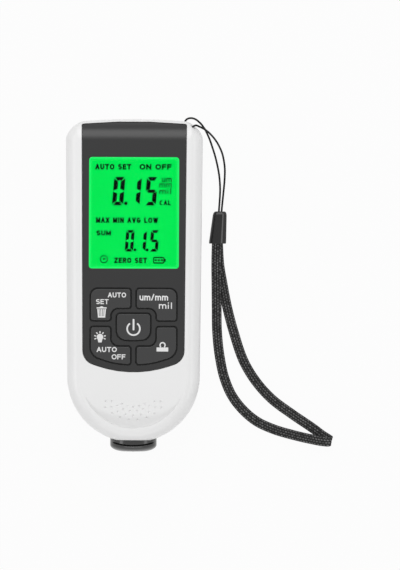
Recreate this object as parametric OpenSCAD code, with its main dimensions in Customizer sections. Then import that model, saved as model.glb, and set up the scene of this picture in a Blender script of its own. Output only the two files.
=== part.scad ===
// Hand-held coating thickness gauge with a wrist strap, lying on its back.
// Millimetres. X runs across the body, Y along it towards the top end, Z from the back to the display.

/* [Body] */
// Width of the case at its widest
body_w = 50; // [49:0.5:54]
// Length of the case without the probe
body_l = 118; // [117:0.5:124]
// Thickness of the case
body_t = 26; // [25.5:0.5:29]
// Corner radius at the top end, seen from the front
corner_r = 7; // [6.5:0.5:8]
// Radius with which the front rolls over the top end
roll_r = 8; // [7.5:0.5:9]
// Width of the rounded rim round the front
rim_w = 5; // [4:0.5:5.5]
// Wall thickness of both case halves
wall = 2; // [1.8:0.1:2.3]

/* [Face] */
// Width of the light rail beside the dark panel
rail_w = 6; // [5.6:0.1:6.4]
// Thickness of the dark panel
panel_t = 1.5; // [1.3:0.1:1.7]
// Dark border on each side of the display window
window_side = 2.1; // [1.9:0.1:4]
// Distance from the top end to the display window
window_above = 14; // [13.8:0.2:18]
// Distance from the display window to the keys
key_below = 7.5; // [6:0.5:12]
// Gap between a key and its hole
key_gap = 0.35; // [0.25:0.05:0.5]
// How far the keys stand above the panel
key_rise = 0.4; // [0.2:0.1:0.8]
// How far a key can be pressed
key_travel = 0.5; // [0.3:0.1:0.6]

/* [Probe] */
// Diameter of the probe
probe_d = 17; // [16:0.2:18]
// How far the probe sticks out of the case
probe_out = 3.6; // [3.2:0.2:5]
// How far the probe head can be pressed in
probe_travel = 1; // [0.6:0.1:1.2]

/* [Battery cover] */
// Width of the sliding battery cover
cover_w = 24; // [23.6:0.2:24.4]
// Thickness of the sliding battery cover
cover_t = 1.6; // [1.4:0.1:1.8]

/* [Strap] */
// Diameter of the thin cord
cord_d = 0.76; // [0.6:0.02:0.9]
// Width of the flat strap
strap_w = 3.7; // [3:0.1:4.2]
// Thickness of the flat strap
strap_t = 1.2; // [0.9:0.1:1.3]

/* [Hidden] */
$fn = 64;
fit = 0.1;
y_top = (body_l + probe_out) / 2;
y_bot = y_top - body_l;
y_tip = y_bot - probe_out;
split_z = body_t / 2;

// The layout of the face grows with the case
wide = body_w / 50;
long = body_l / 118;

// Outline of the case: a shallow top arc, two corners and a round lower end
top_r = 220;
end_r = body_w / 2 - 0.8;
end_y = y_bot + end_r;
corner_x = body_w / 2 - corner_r;
corner_y = y_top - top_r + sqrt(pow(top_r - corner_r, 2) - corner_x * corner_x);
top_angle = asin(corner_x / (top_r - corner_r));
side_run = corner_y - end_y;
side_angle = acos((end_r - corner_r) / norm([corner_x, side_run])) - atan2(side_run, corner_x);

// Rims of the two halves
rim_h = 7;
back_rim_w = 6;
back_rim_h = 8;
back_wall = 3;
roll_y = y_top - roll_r;

// Layers below the face
panel_sink = 0.15;
recess_d = panel_t + panel_sink + 0.05;
shelf_t = 1.8;
ceiling_d = recess_d + shelf_t;
ceiling_z = body_t - ceiling_d;
panel_z = body_t - panel_sink;
board_t = 1.6;
board_z = ceiling_z - 4;
board_y0 = y_bot + 21.2 * long;
board_y1 = y_top - 9.3;
flange_t = 1;
flange_z = ceiling_z - 0.2 - flange_t;
switch_w = 5.2;
switch_h = 1.6;
plunger_r = 1.4;

// Dark panel
panel_x_low = end_r - rail_w + 0.3;
panel_x_top = body_w / 2 - rail_w + 0.1;
panel_y_low = y_top - 88.3 * long;
panel_y_top = y_top - 1.97;
panel_sag = 6.4;
panel_slope = atan(panel_sag / panel_x_low);
panel_corner_r = 5.5;
panel_low_r = 0.9 * (panel_x_low / cos(panel_slope) - panel_corner_r * tan(45 - panel_slope / 2))
    / tan(panel_slope);
panel_top_r = 0.92 * panel_x_top * panel_x_top / 1.7;
panel = [
    [-panel_x_low, panel_y_low, panel_corner_r],
    [0, panel_y_low - panel_sag, panel_low_r],
    [panel_x_low, panel_y_low, panel_corner_r],
    [panel_x_top, panel_y_top, 0.6],
    [0, panel_y_top + 1.7, panel_top_r],
    [-panel_x_top, panel_y_top, 0.6]
];

// Keys round a power key in the middle
key_margin = 3;
key_y = y_top - 62.1 * long;
key_half = panel_x_low - key_margin;
key_web = 1.2;
power_half = 6 * wide;
inner_x = power_half + 2.5;
key_low_x = 6.6 * wide;
key_low_turn = atan(3.05 * long / (key_half - key_low_x)) - atan(0.15 * long / (key_low_x - key_web));
key_low_r = 0.97 * (key_low_x - key_web - 0.8) / tan(key_low_turn / 2);
key_mode_outline = [
    [-key_half, key_y, 2.4],
    [-key_half, key_y - 11.35 * long, 0.8],
    [-inner_x, key_y - 11.35 * long, 0.8],
    [-inner_x, key_y - 6.8 * long, 3],
    [-key_web, key_y - 6.8 * long, 0.8],
    [-key_web, key_y, 0.8]
];
key_light_outline = [
    [-key_half, key_y - 13.9 * long, 0.8],
    [-key_half, key_y - 24.1 * long, 4.2],
    [-key_low_x, key_y - 27.15 * long, key_low_r],
    [-key_web, key_y - 27.3 * long, 0.8],
    [-key_web, key_y - 21 * long, 0.8],
    [-inner_x, key_y - 21 * long, 3],
    [-inner_x, key_y - 13.9 * long, 0.8]
];
key_power_outline = [
    [-power_half, key_y - 9.05 * long, 1.1],
    [-power_half, key_y - 18.2 * long, 3.2],
    [0, key_y - 18.6 * long, 20],
    [power_half, key_y - 18.2 * long, 3.2],
    [power_half, key_y - 9.05 * long, 1.1]
];
key_units_outline = mirrored(key_mode_outline);
key_zero_outline = mirrored(key_light_outline);
key_outlines = [key_mode_outline, key_units_outline, key_light_outline, key_zero_outline, key_power_outline];
mode_spot = [-11 * wide, key_y - 4.6 * long];
units_spot = [11 * wide, key_y - 4.6 * long];
light_spot = [-11 * wide, key_y - 19 * long];
zero_spot = [11 * wide, key_y - 19 * long];
power_spot = [0, key_y - 13.8 * long];
switch_spots = [mode_spot, units_spot, light_spot, zero_spot, power_spot];

// Display
window_w = 2 * (panel_x_low - window_side);
window_h = y_top - window_above - key_y - key_below;
window_y = key_y + key_below + window_h / 2;
window_r = 1.1;
glass_w = window_w + 3.6;
glass_h = window_h + 3.8;
window_flange_t = 1.1;
glass_t = 2.1;
glass_z = body_t - recess_d - window_flange_t - 0.1 - glass_t;

// Battery bay for two AAA cells
cell_d = 10.5;
cell_l = 44.5;
cell_x = cell_d / 2 + 0.2;
bay_half = cell_x + cell_d / 2 + 0.3;
bay_y0 = y_top - 58.3;
bay_y1 = bay_y0 + cell_l + 5.6;
cover_z0 = 0.15;
cover_z1 = cover_z0 + cover_t;
tongue_w = 1;
tongue_t = 0.8;
cover_y0 = bay_y0 - 2.5;
cell_z = cover_z1 + 0.4 + cell_d / 2;
bay_top = cell_z + cell_d / 2 + 0.4;
bay_wall = 1.4;
plate_t = 0.3;

// Probe, on the parting plane
probe_r = probe_d / 2;
seat_y = y_bot + 6.7;
head_y = seat_y - probe_travel - fit;
hub_y = seat_y - 4;
hub_r = probe_r - 1.5;
skirt_r = probe_r - 1.2;
groove_r = end_r + 1.25;
groove_w = 0.5;
groove_d = 0.6;
flange_l = 1.5;
stem_r = probe_r - 2.3;
core_r = 1.2;
clip_t = 0.7;
cap_y = seat_y + flange_l + 3;
stop_y = cap_y + 6;
stop_t = 1.6;

// Fasteners
case_screw_x = cover_w / 2 + tongue_w + 2.8;
case_screw_y = [y_top - 7, y_bot + 16.7 * long];
case_screws_xy = [for (y = case_screw_y, s = [-1, 1]) [s * case_screw_x, y]];
board_screws_xy = [
    [-19.3 * wide, key_y - 1.7],
    [19.3 * wide, key_y - 1.7],
    [-13 * wide, y_bot + 23.7 * long],
    [13 * wide, y_bot + 23.7 * long]
];
boss_r = 2.6;
post_r = 2;
screw_r = 1;
screw_head_r = 1.9;
screw_head_z = 3.8;
screw_top = split_z + 4.4;
board_screw_r = 0.75;

// Lanyard tunnel: a half ring from the front of the right corner to the top end
mouth_front = [body_w / 2 - 3.5, y_top - 2.5, split_z + 9.6];
mouth_top = [body_w / 2 - 6.8, y_top - 0.5, split_z + 2.4];
tunnel_r = 1;
tunnel_out = [0.54, 0.84, 0];

// Thumb dish and its dimples
dish_r = 19;
dish_y = end_y - 5;
dish_floor_r = 50;
dimple_r = 0.45;
dimple_rows = [[9, 5], [10.5, 8], [12.2, 9], [13.8, 8]];
dimple_pitch = 13.7;
dimple_y = end_y - 2.2;

// Routes of the soft pieces on the table
cord_route = [
    [31.8, 24, 2.2], [32, 27.5, 2], [32.6, 34, 0.9], [33, 38.5, 0.6], [33.1, 43, 1], [32.4, 47.6, 3],
    [30.8, 51.5, 7.5], [28.4, 54.8, 13.5], [26.1, 56.8, 18.6], [23.8, 58, 22], [22.3, 58.5, 23],
    [20.8, 57.6, 22.6], [19.1, 56.1, 21.6], [18, 55.4, 20.3], [17.6, 55.5, 18.6], [17.6, 56.4, 16.9],
    [17.9, 58.2, 15.7], [18.4, 60, 15.3], [19.3, 61, 15.2], [20.7, 61.3, 15], [22, 61, 14.5],
    [23.6, 59.9, 13.4], [25.4, 57.8, 11.6], [26.9, 55, 9], [28.5, 50.8, 5], [30, 45.8, 1.8],
    [31, 40.8, 0.7], [31.4, 35.9, 0.6], [31.2, 30.5, 1.2], [31, 27.5, 2], [31, 24, 2.2]
];
strap_fold = 16;
strap_route = [
    [30.4, 18.5, 2.9], [30.2, 14, 2.8], [30.1, 8, 2.3], [30.2, 0, 2.2], [30.3, -8, 2], [30.5, -17, 1],
    [31.5, -26, 0.7], [33.3, -34, 0.7], [36.1, -40.4, 0.7], [39.8, -45.2, 0.7], [45, -49.6, 0.7],
    [51.5, -52.6, 0.8], [58, -54.5, 1.4], [65, -56.1, 2.7], [69.6, -56.9, 3.4], [71.6, -57, 2.9],
    [72.2, -56.7, 2],
    [71.6, -56.2, 1.1], [69.8, -55.1, 0.7], [66, -52.3, 0.7], [58, -46.9, 0.7], [50.6, -41.4, 0.7],
    [45.4, -35.8, 0.7], [41.2, -29.4, 0.7], [36.5, -16.6, 0.7], [34.2, -8, 0.7], [32.4, 1, 0.7],
    [31.2, 8, 0.7], [30.8, 14, 1.1], [30.6, 18.5, 1.2]
];
clip_low = [30.5, 15.6];
clip_high = [31.4, 27];

// Outlines from corner points that carry their own radius

function unit(v) = v / norm(v);

function left_of(v) = [-v.y, v.x];

function xy(p) = [p.x, p.y];

function before(list, i) = list[(i + len(list) - 1) % len(list)];

function after(list, i) = list[(i + 1) % len(list)];

function mirrored(corners) = [for (i = [len(corners) - 1:-1:0]) [-corners[i].x, corners[i].y, corners[i].z]];

function corner_turn(u, v) = atan2(cross(u, v), u * v);

function corner_arc(p, u, v, r) =
    let (
        turn = corner_turn(u, v),
        start = p - u * r * tan(abs(turn) / 2),
        centre = start + left_of(u) * r * sign(turn),
        spoke = start - centre,
        n = ceil(abs(turn) / 15) + 1
    )
    [for (k = [0:n]) centre + turned(spoke, turn * k / n)];

function turned(v, a) = [v.x * cos(a) - v.y * sin(a), v.x * sin(a) + v.y * cos(a)];

function rounded(corners) = [
    for (i = [0:len(corners) - 1])
        let (p = xy(corners[i]), u = unit(p - xy(before(corners, i))), v = unit(xy(after(corners, i)) - p))
        each corner_arc(p, u, v, corners[i].z)
];

function grown(corners, by) = [
    for (i = [0:len(corners) - 1])
        let (
            p = xy(corners[i]),
            u = unit(p - xy(before(corners, i))),
            v = unit(xy(after(corners, i)) - p),
            out = -(left_of(u) + left_of(v)) / (1 + u * v),
            r = corners[i].z + by * sign(corner_turn(u, v))
        )
        [p.x + out.x * by, p.y + out.y * by, max(r, 0.1)]
];

// Case surface: rings of the outline, set in from the edge and stacked

function arc_stations(centre_y, centre_x, r, from, to, n, first) = [
    for (k = [first:n]) [centre_x, centre_y, r, from + (to - from) * k / n]
];

stations = concat(
    arc_stations(y_top - top_r, 0, top_r, 90, 90 - top_angle, 3, 0),
    arc_stations(corner_y, corner_x, corner_r, 90 - top_angle, -side_angle, 8, 1),
    arc_stations(end_y, 0, end_r, -side_angle, -90, 16, 0)
);
half = len(stations);
round_count = 2 * half - 2;

function top_share(a) = pow(max(sin(a), 0), 2);

function station_xy(s, side_in, top_in) =
    let (reach = s[2] - side_in - (top_in - side_in) * top_share(s[3]))
    [s[0] + reach * cos(s[3]), s[1] + reach * sin(s[3])];

function outline(side_in, top_in) =
    let (right = [for (s = stations) station_xy(s, side_in, top_in)])
    concat(
        [for (p = right) [-p.x, p.y]],
        [for (i = [half - 2:-1:1]) right[i]]
    );

function roll_drop(y) = y > roll_y ? roll_r - sqrt(max(roll_r * roll_r - pow(y - roll_y, 2), 0)) : 0;

function front_height(y, z, depth) =
    let (full = body_t - depth - split_z)
    split_z + (z - split_z) * (full - roll_drop(y)) / full;

function front_ring(z, side_in, top_in, depth) = [
    for (p = outline(side_in, top_in)) [p.x, p.y, front_height(p.y, z, depth)]
];

function flat_ring(z, side_in) = [for (p = outline(side_in, side_in)) [p.x, p.y, z]];

function right_of(i) = (round_count - i) % round_count;

module skin(rings) {
    n = round_count;
    top = (len(rings) - 1) * n;
    sides = [
        for (k = [0:len(rings) - 2], i = [0:n - 1])
            let (a = k * n + i, b = k * n + (i + 1) % n)
            each [[a, a + n, b + n], [a, b + n, b]]
    ];
    ladder = [for (h = [0:half - 2]) [h, right_of(h), right_of(h + 1), h + 1]];
    lid = [for (q = ladder) [for (i = unique(q)) top + i]];
    base = [for (q = ladder) let (u = unique(q)) [for (i = [len(u) - 1:-1:0]) u[i]]];
    polyhedron(points = [for (r = rings) each r], faces = concat(sides, lid, base), convexity = 6);
}

function unique(q) = [for (i = [0:len(q) - 1]) if (q[i] != q[(i + 1) % len(q)]) q[i]];

module front_solid() {
    rim = [
        for (a = [0:15:90])
            front_ring(body_t - rim_h + rim_h * sin(a), rim_w * (1 - cos(a)), 0.4 * (1 - cos(a)), 0)
    ];
    skin(concat([front_ring(split_z, 0, 0, 0)], rim));
}

module front_hollow() {
    skin([
        front_ring(split_z - 1, wall, wall, ceiling_d),
        front_ring(ceiling_z - 3, wall, wall, ceiling_d),
        front_ring(ceiling_z, wall + 2, wall, ceiling_d)
    ]);
}

module back_solid() {
    rim = [for (a = [0:15:90]) flat_ring(back_rim_h * (1 - cos(a)), back_rim_w * (1 - sin(a)))];
    skin(concat(rim, [flat_ring(split_z, 0)]));
}

module back_hollow() {
    skin([
        flat_ring(back_wall, wall + 3),
        flat_ring(back_wall + 4, wall),
        flat_ring(split_z + 1, wall)
    ]);
}

// Helpers

module box(from, to) {
    translate(from)
        cube(to - from);
}

module plate(corners, z0, z1) {
    translate([0, 0, z0])
        linear_extrude(height = z1 - z0)
            polygon(rounded(corners));
}

function rectangle(w, h, y, r) = [
    [-w / 2, y - h / 2, r], [w / 2, y - h / 2, r], [w / 2, y + h / 2, r], [-w / 2, y + h / 2, r]
];

module under_roll(depth) {
    rotate([90, 0, 90])
        linear_extrude(height = body_w + 4, center = true) {
            translate([y_bot - 10, -1])
                square([roll_y - y_bot + 10, body_t - depth + 1]);
            translate([roll_y, body_t - roll_r])
                circle(r = roll_r - depth);
            translate([roll_y - 1, -1])
                square([roll_r - depth + 1, body_t - roll_r + 1]);
        }
}

module along_y(y0, y1, r) {
    translate([0, y0, split_z])
        rotate([-90, 0, 0])
            cylinder(h = y1 - y0, r = r);
}

module turned_part(profile) {
    translate([0, 0, split_z])
        rotate([-90, 0, 0])
            rotate_extrude()
                polygon(profile);
}

module probe_ring(y0, y1, r_in, r_out) {
    turned_part([[r_in, y0], [r_out, y0], [r_out, y1], [r_in, y1]]);
}

// Case

module probe_seat() {
    along_y(y_bot - 2, seat_y + flange_l + 3, probe_r + fit);
    along_y(seat_y, seat_y + flange_l + fit, probe_r + 1.7 + fit);
}

module probe_block(z0, z1) {
    box([-probe_r - 3.4, y_bot, z0], [probe_r + 3.4, seat_y + flange_l + 1.6, z1]);
}

module lanyard_tunnel() {
    ex = unit(mouth_front - mouth_top);
    inward = unit((ex * tunnel_out) * ex - tunnel_out);
    ez = cross(ex, inward);
    mid = (mouth_front + mouth_top) / 2;
    frame = [for (i = [0:2]) [ex[i], inward[i], ez[i], mid[i]]];
    ring_r = norm(mouth_front - mouth_top) / 2;
    multmatrix(frame) {
        rotate_extrude(angle = 180)
            translate([ring_r, 0])
                circle(r = tunnel_r, $fn = 32);
        for (x = [-ring_r, ring_r])
            translate([x, 0, 0])
                rotate([90, 0, 0])
                    cylinder(h = 4, r = tunnel_r, $fn = 32);
    }
}

module thumb_dish() {
    difference() {
        translate([0, end_y, split_z + 4])
            cylinder(h = split_z, r = dish_r);
        translate([-body_w / 2, dish_y, body_t - dish_floor_r])
            rotate([0, 90, 0])
                cylinder(h = body_w, r = dish_floor_r, $fn = 256);
        box([-body_w / 2, dish_y, 0], [body_w / 2, dish_y + 40, body_t + 1]);
    }
}

function dish_height(y) = body_t - dish_floor_r + sqrt(pow(dish_floor_r, 2) - pow(min(y - dish_y, 0), 2));

module dimples() {
    for (row = dimple_rows, k = [0:row[1] - 1]) {
        a = -90 + dimple_pitch * (k - (row[1] - 1) / 2);
        y = dimple_y + row[0] * sin(a);
        translate([row[0] * cos(a), y, dish_height(y) + 0.2])
            sphere(r = dimple_r, $fn = 24);
    }
}

module front_case() {
    color("white")
        difference() {
            front_solid();
            difference() {
                front_hollow();
                for (p = case_screws_xy)
                    translate([p.x, p.y, 0])
                        cylinder(h = body_t, r = boss_r);
                for (p = board_screws_xy)
                    translate([p.x, p.y, board_z])
                        cylinder(h = body_t, r = post_r);
                box([mouth_top.x - 4.3, y_top - 9.1, 0], [body_w, y_top, body_t]);
                probe_block(0, body_t);
            }
            difference() {
                plate(grown(panel, fit), split_z + 1, body_t + 1);
                under_roll(recess_d);
            }
            plate(rectangle(glass_w + 0.6, glass_h + 0.6, window_y, 1), ceiling_z - 1, body_t);
            for (k = key_outlines)
                plate(grown(k, key_gap), ceiling_z - 1, body_t);
            for (p = case_screws_xy)
                translate([p.x, p.y, split_z - 1])
                    cylinder(h = screw_top + 0.3 - split_z + 1, r = screw_r + 0.05);
            for (p = board_screws_xy)
                translate([p.x, p.y, board_z - 1])
                    cylinder(h = 4.3, r = board_screw_r + 0.05);
            thumb_dish();
            dimples();
            lanyard_tunnel();
            probe_seat();
        }
}

module cover_shape(gap) {
    x = cover_w / 2 + gap;
    y0 = cover_y0 - gap;
    box([-x, y0, cover_z0 - gap * 3], [x, y_top + 1, cover_z1 + gap]);
    box(
        [-x - tongue_w, y0, cover_z1 - tongue_t - gap],
        [x + tongue_w, y_top + 1, cover_z1 + gap]
    );
}

module bay_room() {
    box([-bay_half, bay_y0, -1], [bay_half, bay_y1, bay_top]);
}

module contact_slots() {
    for (s = [-1, 1])
        box(
            [s * cell_x - 1.7, bay_y0 - 0.01, cell_z],
            [s * cell_x + 1.7, bay_y0 + plate_t + 0.1, bay_top + bay_wall + 1]
        );
}

module back_case() {
    color("white")
        difference() {
            union() {
                difference() {
                    back_solid();
                    difference() {
                        back_hollow();
                        for (p = case_screws_xy)
                            translate([p.x, p.y, 0])
                                cylinder(h = split_z, r = boss_r);
                        probe_block(0, split_z);
                    }
                    for (p = case_screws_xy)
                        translate([p.x, p.y, -1]) {
                            cylinder(h = split_z + 2, r = screw_r + 0.1);
                            cylinder(h = screw_head_z + 1, r = screw_head_r + 0.2);
                        }
                    probe_seat();
                }
                box(
                    [-bay_half - bay_wall, bay_y0 - bay_wall, back_wall - 1],
                    [bay_half + bay_wall, bay_y1 + bay_wall, bay_top + bay_wall]
                );
                box([-7, stop_y, back_wall - 1], [7, stop_y + stop_t, split_z + 5]);
            }
            bay_room();
            cover_shape(fit);
            contact_slots();
        }
}

module battery_cover() {
    color("white")
        difference() {
            intersection() {
                back_solid();
                cover_shape(0);
            }
            for (k = [0:4])
                box([-6, cover_y0 + 5 + 1.8 * k, -1], [6, cover_y0 + 5.9 + 1.8 * k, cover_z0 + 0.5]);
        }
}

// Face

module face_panel() {
    color("dimgray")
        difference() {
            intersection() {
                difference() {
                    plate(panel, split_z + 1, body_t);
                    under_roll(panel_sink + panel_t);
                }
                under_roll(panel_sink);
            }
            plate(rectangle(window_w, window_h, window_y, window_r), split_z, body_t + 1);
            for (k = key_outlines)
                plate(grown(k, key_gap), split_z, body_t + 1);
        }
}

module display_window() {
    color("palegreen") {
        top_of_flange = body_t - recess_d;
        plate(
            rectangle(window_w - fit, window_h - fit, window_y, window_r),
            top_of_flange - 0.05, panel_z - 0.1
        );
        plate(rectangle(glass_w, glass_h, window_y, 1), top_of_flange - window_flange_t, top_of_flange);
    }
}

module display_glass() {
    color("lime")
        plate(rectangle(glass_w, glass_h, window_y, 0.3), glass_z, glass_z + glass_t);
}

module backlight() {
    color("honeydew")
        plate(
            rectangle(glass_w - 0.4, glass_h - 5, window_y + 2.2, 0.5),
            board_z + 0.05, glass_z - 0.05
        );
}

module display_frame() {
    color("whitesmoke")
        difference() {
            plate(rectangle(glass_w + 3.4, glass_h + 3.4, window_y, 1), board_z, ceiling_z - 0.2);
            plate(rectangle(glass_w + 0.3, glass_h + 0.3, window_y, 0.5), board_z - 1, body_t);
        }
}

module zebra_strip() {
    color("gray")
        plate(
            rectangle(glass_w - 3, 2, window_y - glass_h / 2 + 1.4, 0.2),
            board_z, glass_z
        );
}

module key(corners) {
    color("gray") {
        plate(corners, flange_z + 0.5, panel_z + key_rise);
        plate(grown(corners, 0.8), flange_z, flange_z + flange_t);
    }
}

module key_mode() {
    key(key_mode_outline);
}

module key_units() {
    key(key_units_outline);
}

module key_light() {
    key(key_light_outline);
}

module key_zero() {
    key(key_zero_outline);
}

module key_power() {
    key(key_power_outline);
}

module plunger(spot) {
    color("black")
        translate([spot.x, spot.y, flange_z - 2])
            cylinder(h = 2, r = plunger_r);
}

module plunger_mode() {
    plunger(mode_spot);
}

module plunger_units() {
    plunger(units_spot);
}

module plunger_light() {
    plunger(light_spot);
}

module plunger_zero() {
    plunger(zero_spot);
}

module plunger_power() {
    plunger(power_spot);
}

module switch_housings() {
    color("black")
        for (p = switch_spots)
            difference() {
                translate([p.x, p.y, board_z + switch_h / 2])
                    cube([switch_w, switch_w, switch_h], center = true);
                translate([p.x, p.y, flange_z - 2 - key_travel - fit])
                    cylinder(h = 5, r = plunger_r + 0.05);
            }
}

// Electronics

module circuit_board() {
    color("green")
        difference() {
            translate([0, 0, board_z - board_t])
                linear_extrude(height = board_t)
                    intersection() {
                        polygon(outline(wall + 1, wall + 1));
                        translate([-body_w, board_y0])
                            square([2 * body_w, board_y1 - board_y0]);
                    }
            for (p = board_screws_xy)
                translate([p.x, p.y, 0])
                    cylinder(h = body_t, r = board_screw_r + 0.2);
        }
}

module main_chip() {
    color("black")
        box(
            [-5, key_y - 26 * long, board_z - board_t - 1.4],
            [5, key_y - 16 * long, board_z - board_t]
        );
}

// Probe

module probe_collar() {
    color("black")
        turned_part([
            [stem_r + fit, hub_y],
            [hub_r, hub_y],
            [hub_r, seat_y],
            [probe_r + 1.7, seat_y],
            [probe_r + 1.7, seat_y + flange_l],
            [stem_r + fit, seat_y + flange_l]
        ]);
}

module nose_groove() {
    reach = probe_r - 1.1;
    difference() {
        intersection() {
            translate([0, end_y, 0])
                difference() {
                    cylinder(h = body_t, r = groove_r + groove_w / 2);
                    translate([0, 0, -1])
                        cylinder(h = body_t + 2, r = groove_r - groove_w / 2);
                }
            box([-reach, y_tip, 1], [reach, y_bot + 1, body_t - 1]);
        }
        along_y(y_tip - 1, y_bot + 2, probe_r - groove_d);
    }
}

module probe_head() {
    nose_r = 3.2;
    nose_l = 2.5;
    nose = [
        for (a = [0:10:90])
            [nose_r + (probe_r - nose_r) * sin(a), y_tip + 0.15 + nose_l * (1 - cos(a))]
    ];
    pocket_y = hub_y - probe_travel - fit;
    clip_y = seat_y + flange_l + 0.05;
    color("black")
        difference() {
            turned_part(concat(
                [[core_r + fit, y_tip + 0.15]],
                nose,
                [
                    [probe_r, head_y],
                    [skirt_r, head_y],
                    [skirt_r, pocket_y],
                    [stem_r, pocket_y],
                    [stem_r, clip_y],
                    [stem_r - 0.7, clip_y],
                    [stem_r - 0.7, clip_y + clip_t + 0.1],
                    [stem_r, clip_y + clip_t + 0.1],
                    [stem_r, cap_y],
                    [stem_r - 1.6, cap_y],
                    [stem_r - 1.6, y_tip + 1.6],
                    [core_r + fit, y_tip + 1.6]
                ]
            ));
            nose_groove();
        }
}

module sensor_core() {
    color("silver") {
        along_y(y_tip + core_r, cap_y - 2, core_r);
        translate([0, y_tip + core_r, split_z])
            sphere(r = core_r);
    }
}

module coil_bobbin() {
    r0 = core_r + 0.05;
    r1 = stem_r - 1.7;
    y0 = y_tip + 1.65;
    y1 = cap_y - 2;
    color("ivory")
        turned_part([
            [r0, y0], [r1, y0], [r1, y0 + 0.6], [r0 + 0.5, y0 + 0.6], [r0 + 0.5, y1 - 0.6], [r1, y1 - 0.6],
            [r1, y1], [r0, y1]
        ]);
}

module sensor_coil() {
    color("chocolate")
        probe_ring(y_tip + 2.3, cap_y - 2.65, core_r + 0.6, stem_r - 2);
}

module probe_cap() {
    color("black")
        turned_part([
            [0, cap_y - 1.5], [stem_r - 1.65, cap_y - 1.5], [stem_r - 1.65, cap_y],
            [stem_r, cap_y], [stem_r, cap_y + 1], [0, cap_y + 1]
        ]);
}

module retaining_clip() {
    y = seat_y + flange_l + 0.1;
    color("silver")
        probe_ring(y, y + clip_t - 0.05, stem_r - 0.65, stem_r + 1.2);
}

// Coils: one tube swept along a helix

function helix(y0, y1, r0, r1, turns, n) = [
    for (i = [0:n])
        let (f = i / n, r = r0 + (r1 - r0) * f)
        [r * cos(360 * turns * f), y0 + (y1 - y0) * f, r * sin(360 * turns * f)]
];

function tangent(line, i) = unit(line[min(i + 1, len(line) - 1)] - line[max(i - 1, 0)]);

function tube_ring(line, i, across, section) =
    let (side = across[i], up = unit(cross(tangent(line, i), side)))
    [for (q = section) line[i] + side * q.x + up * q.y];

module tube(line, across, section) {
    m = len(section);
    last = (len(line) - 1) * m;
    sides = [
        for (i = [0:len(line) - 2], k = [0:m - 1])
            let (a = i * m + k, b = i * m + (k + 1) % m)
            each [[a, b + m, a + m], [a, b, b + m]]
    ];
    near = [for (k = [m - 1:-1:0]) k];
    far = [for (k = [0:m - 1]) last + k];
    polyhedron(
        points = [for (i = [0:len(line) - 1]) each tube_ring(line, i, across, section)],
        faces = concat(sides, [near, far]),
        convexity = 10
    );
}

function round_section(r, n) = [for (k = [0:n - 1]) [r * cos(360 * k / n), r * sin(360 * k / n)]];

module coil(y0, y1, r0, r1, turns, wire) {
    line = helix(y0 + wire, y1 - wire, r0, r1, turns, turns * 12);
    across = [for (i = [0:len(line) - 1]) unit(cross(tangent(line, i), [0, 1, 0]))];
    tube(line, across, round_section(wire, 6));
}

module probe_spring() {
    color("silver")
        translate([0, 0, split_z])
            coil(cap_y + 1.02, stop_y - 0.02, stem_r - 1.4, stem_r - 1.4, 3, 0.4);
}

// Battery

module battery(y0, facing) {
    nub = 1;
    low = facing > 0 ? 0 : nub;
    translate([0, y0, cell_z])
        rotate([-90, 0, 0]) {
            translate([0, 0, low])
                cylinder(h = cell_l - nub, r = cell_d / 2);
            translate([0, 0, facing > 0 ? cell_l - nub : 0])
                cylinder(h = nub, r = 1.9);
        }
}

module battery_left() {
    color("goldenrod")
        translate([-cell_x, 0, 0])
            battery(bay_y1 - cell_l - 0.9, 1);
}

module battery_right() {
    color("goldenrod")
        translate([cell_x, 0, 0])
            battery(bay_y0 + 0.9, -1);
}

module battery_springs() {
    color("silver") {
        translate([-cell_x, 0, cell_z])
            coil(bay_y0 + plate_t + 0.02, bay_y1 - cell_l - 0.92, 3.4, 2.2, 3, 0.3);
        translate([cell_x, 0, cell_z])
            coil(bay_y0 + cell_l + 0.92, bay_y1 - plate_t - 0.02, 2.2, 3.4, 3, 0.3);
    }
}

module battery_contacts() {
    w = 8;
    color("silver") {
        for (s = [-1, 1]) {
            box(
                [s * cell_x - w / 2, bay_y0 + 0.02, cell_z - 4],
                [s * cell_x + w / 2, bay_y0 + plate_t, cell_z + 4]
            );
            box(
                [s * cell_x - 1.5, bay_y0 + 0.02, cell_z],
                [s * cell_x + 1.5, bay_y0 + plate_t, board_z - board_t]
            );
        }
        box(
            [-cell_x - w / 2, bay_y1 - plate_t, cell_z - 4],
            [cell_x + w / 2, bay_y1 - 0.02, cell_z + 4]
        );
        translate([cell_x, bay_y0 + 0.1, cell_z])
            rotate([-90, 0, 0])
                cylinder(h = 0.75, r = 2);
        translate([-cell_x, bay_y1 - 0.1, cell_z])
            rotate([90, 0, 0])
                cylinder(h = 0.75, r = 2);
    }
}

// Fasteners

module screw(z_head, z_seat, z_end, r_head, r) {
    difference() {
        union() {
            translate([0, 0, z_head])
                cylinder(h = z_seat - z_head, r = r_head);
            translate([0, 0, z_seat - 0.1])
                cylinder(h = z_end - z_seat + 0.1, r = r);
        }
        for (a = [0, 90])
            translate([0, 0, z_head])
                rotate(a)
                    cube([r_head * 1.2, r_head * 0.3, r_head * 0.8], center = true);
    }
}

module case_screws() {
    color("silver")
        for (p = case_screws_xy)
            translate([p.x, p.y, 0])
                screw(screw_head_z - 1.5, screw_head_z, screw_top, screw_head_r, screw_r);
}

module board_screws() {
    seat = board_z - board_t;
    color("silver")
        for (p = board_screws_xy)
            translate([p.x, p.y, 0])
                screw(seat - 1.2, seat, board_z + 3, 1.6, board_screw_r);
}

// Wrist strap

function flat_side(line, i, fold) =
    let (
        t = xy(line[min(i + 1, len(line) - 1)]) - xy(line[max(i - 1, 0)]),
        s = unit(left_of(t)) * (i < fold ? 1 : -1)
    )
    [s.x, s.y, 0];

function strap_side(i) =
    i == strap_fold
    ? unit(flat_side(strap_route, i - 1, strap_fold) + flat_side(strap_route, i + 1, strap_fold))
    : flat_side(strap_route, i, strap_fold);

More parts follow.
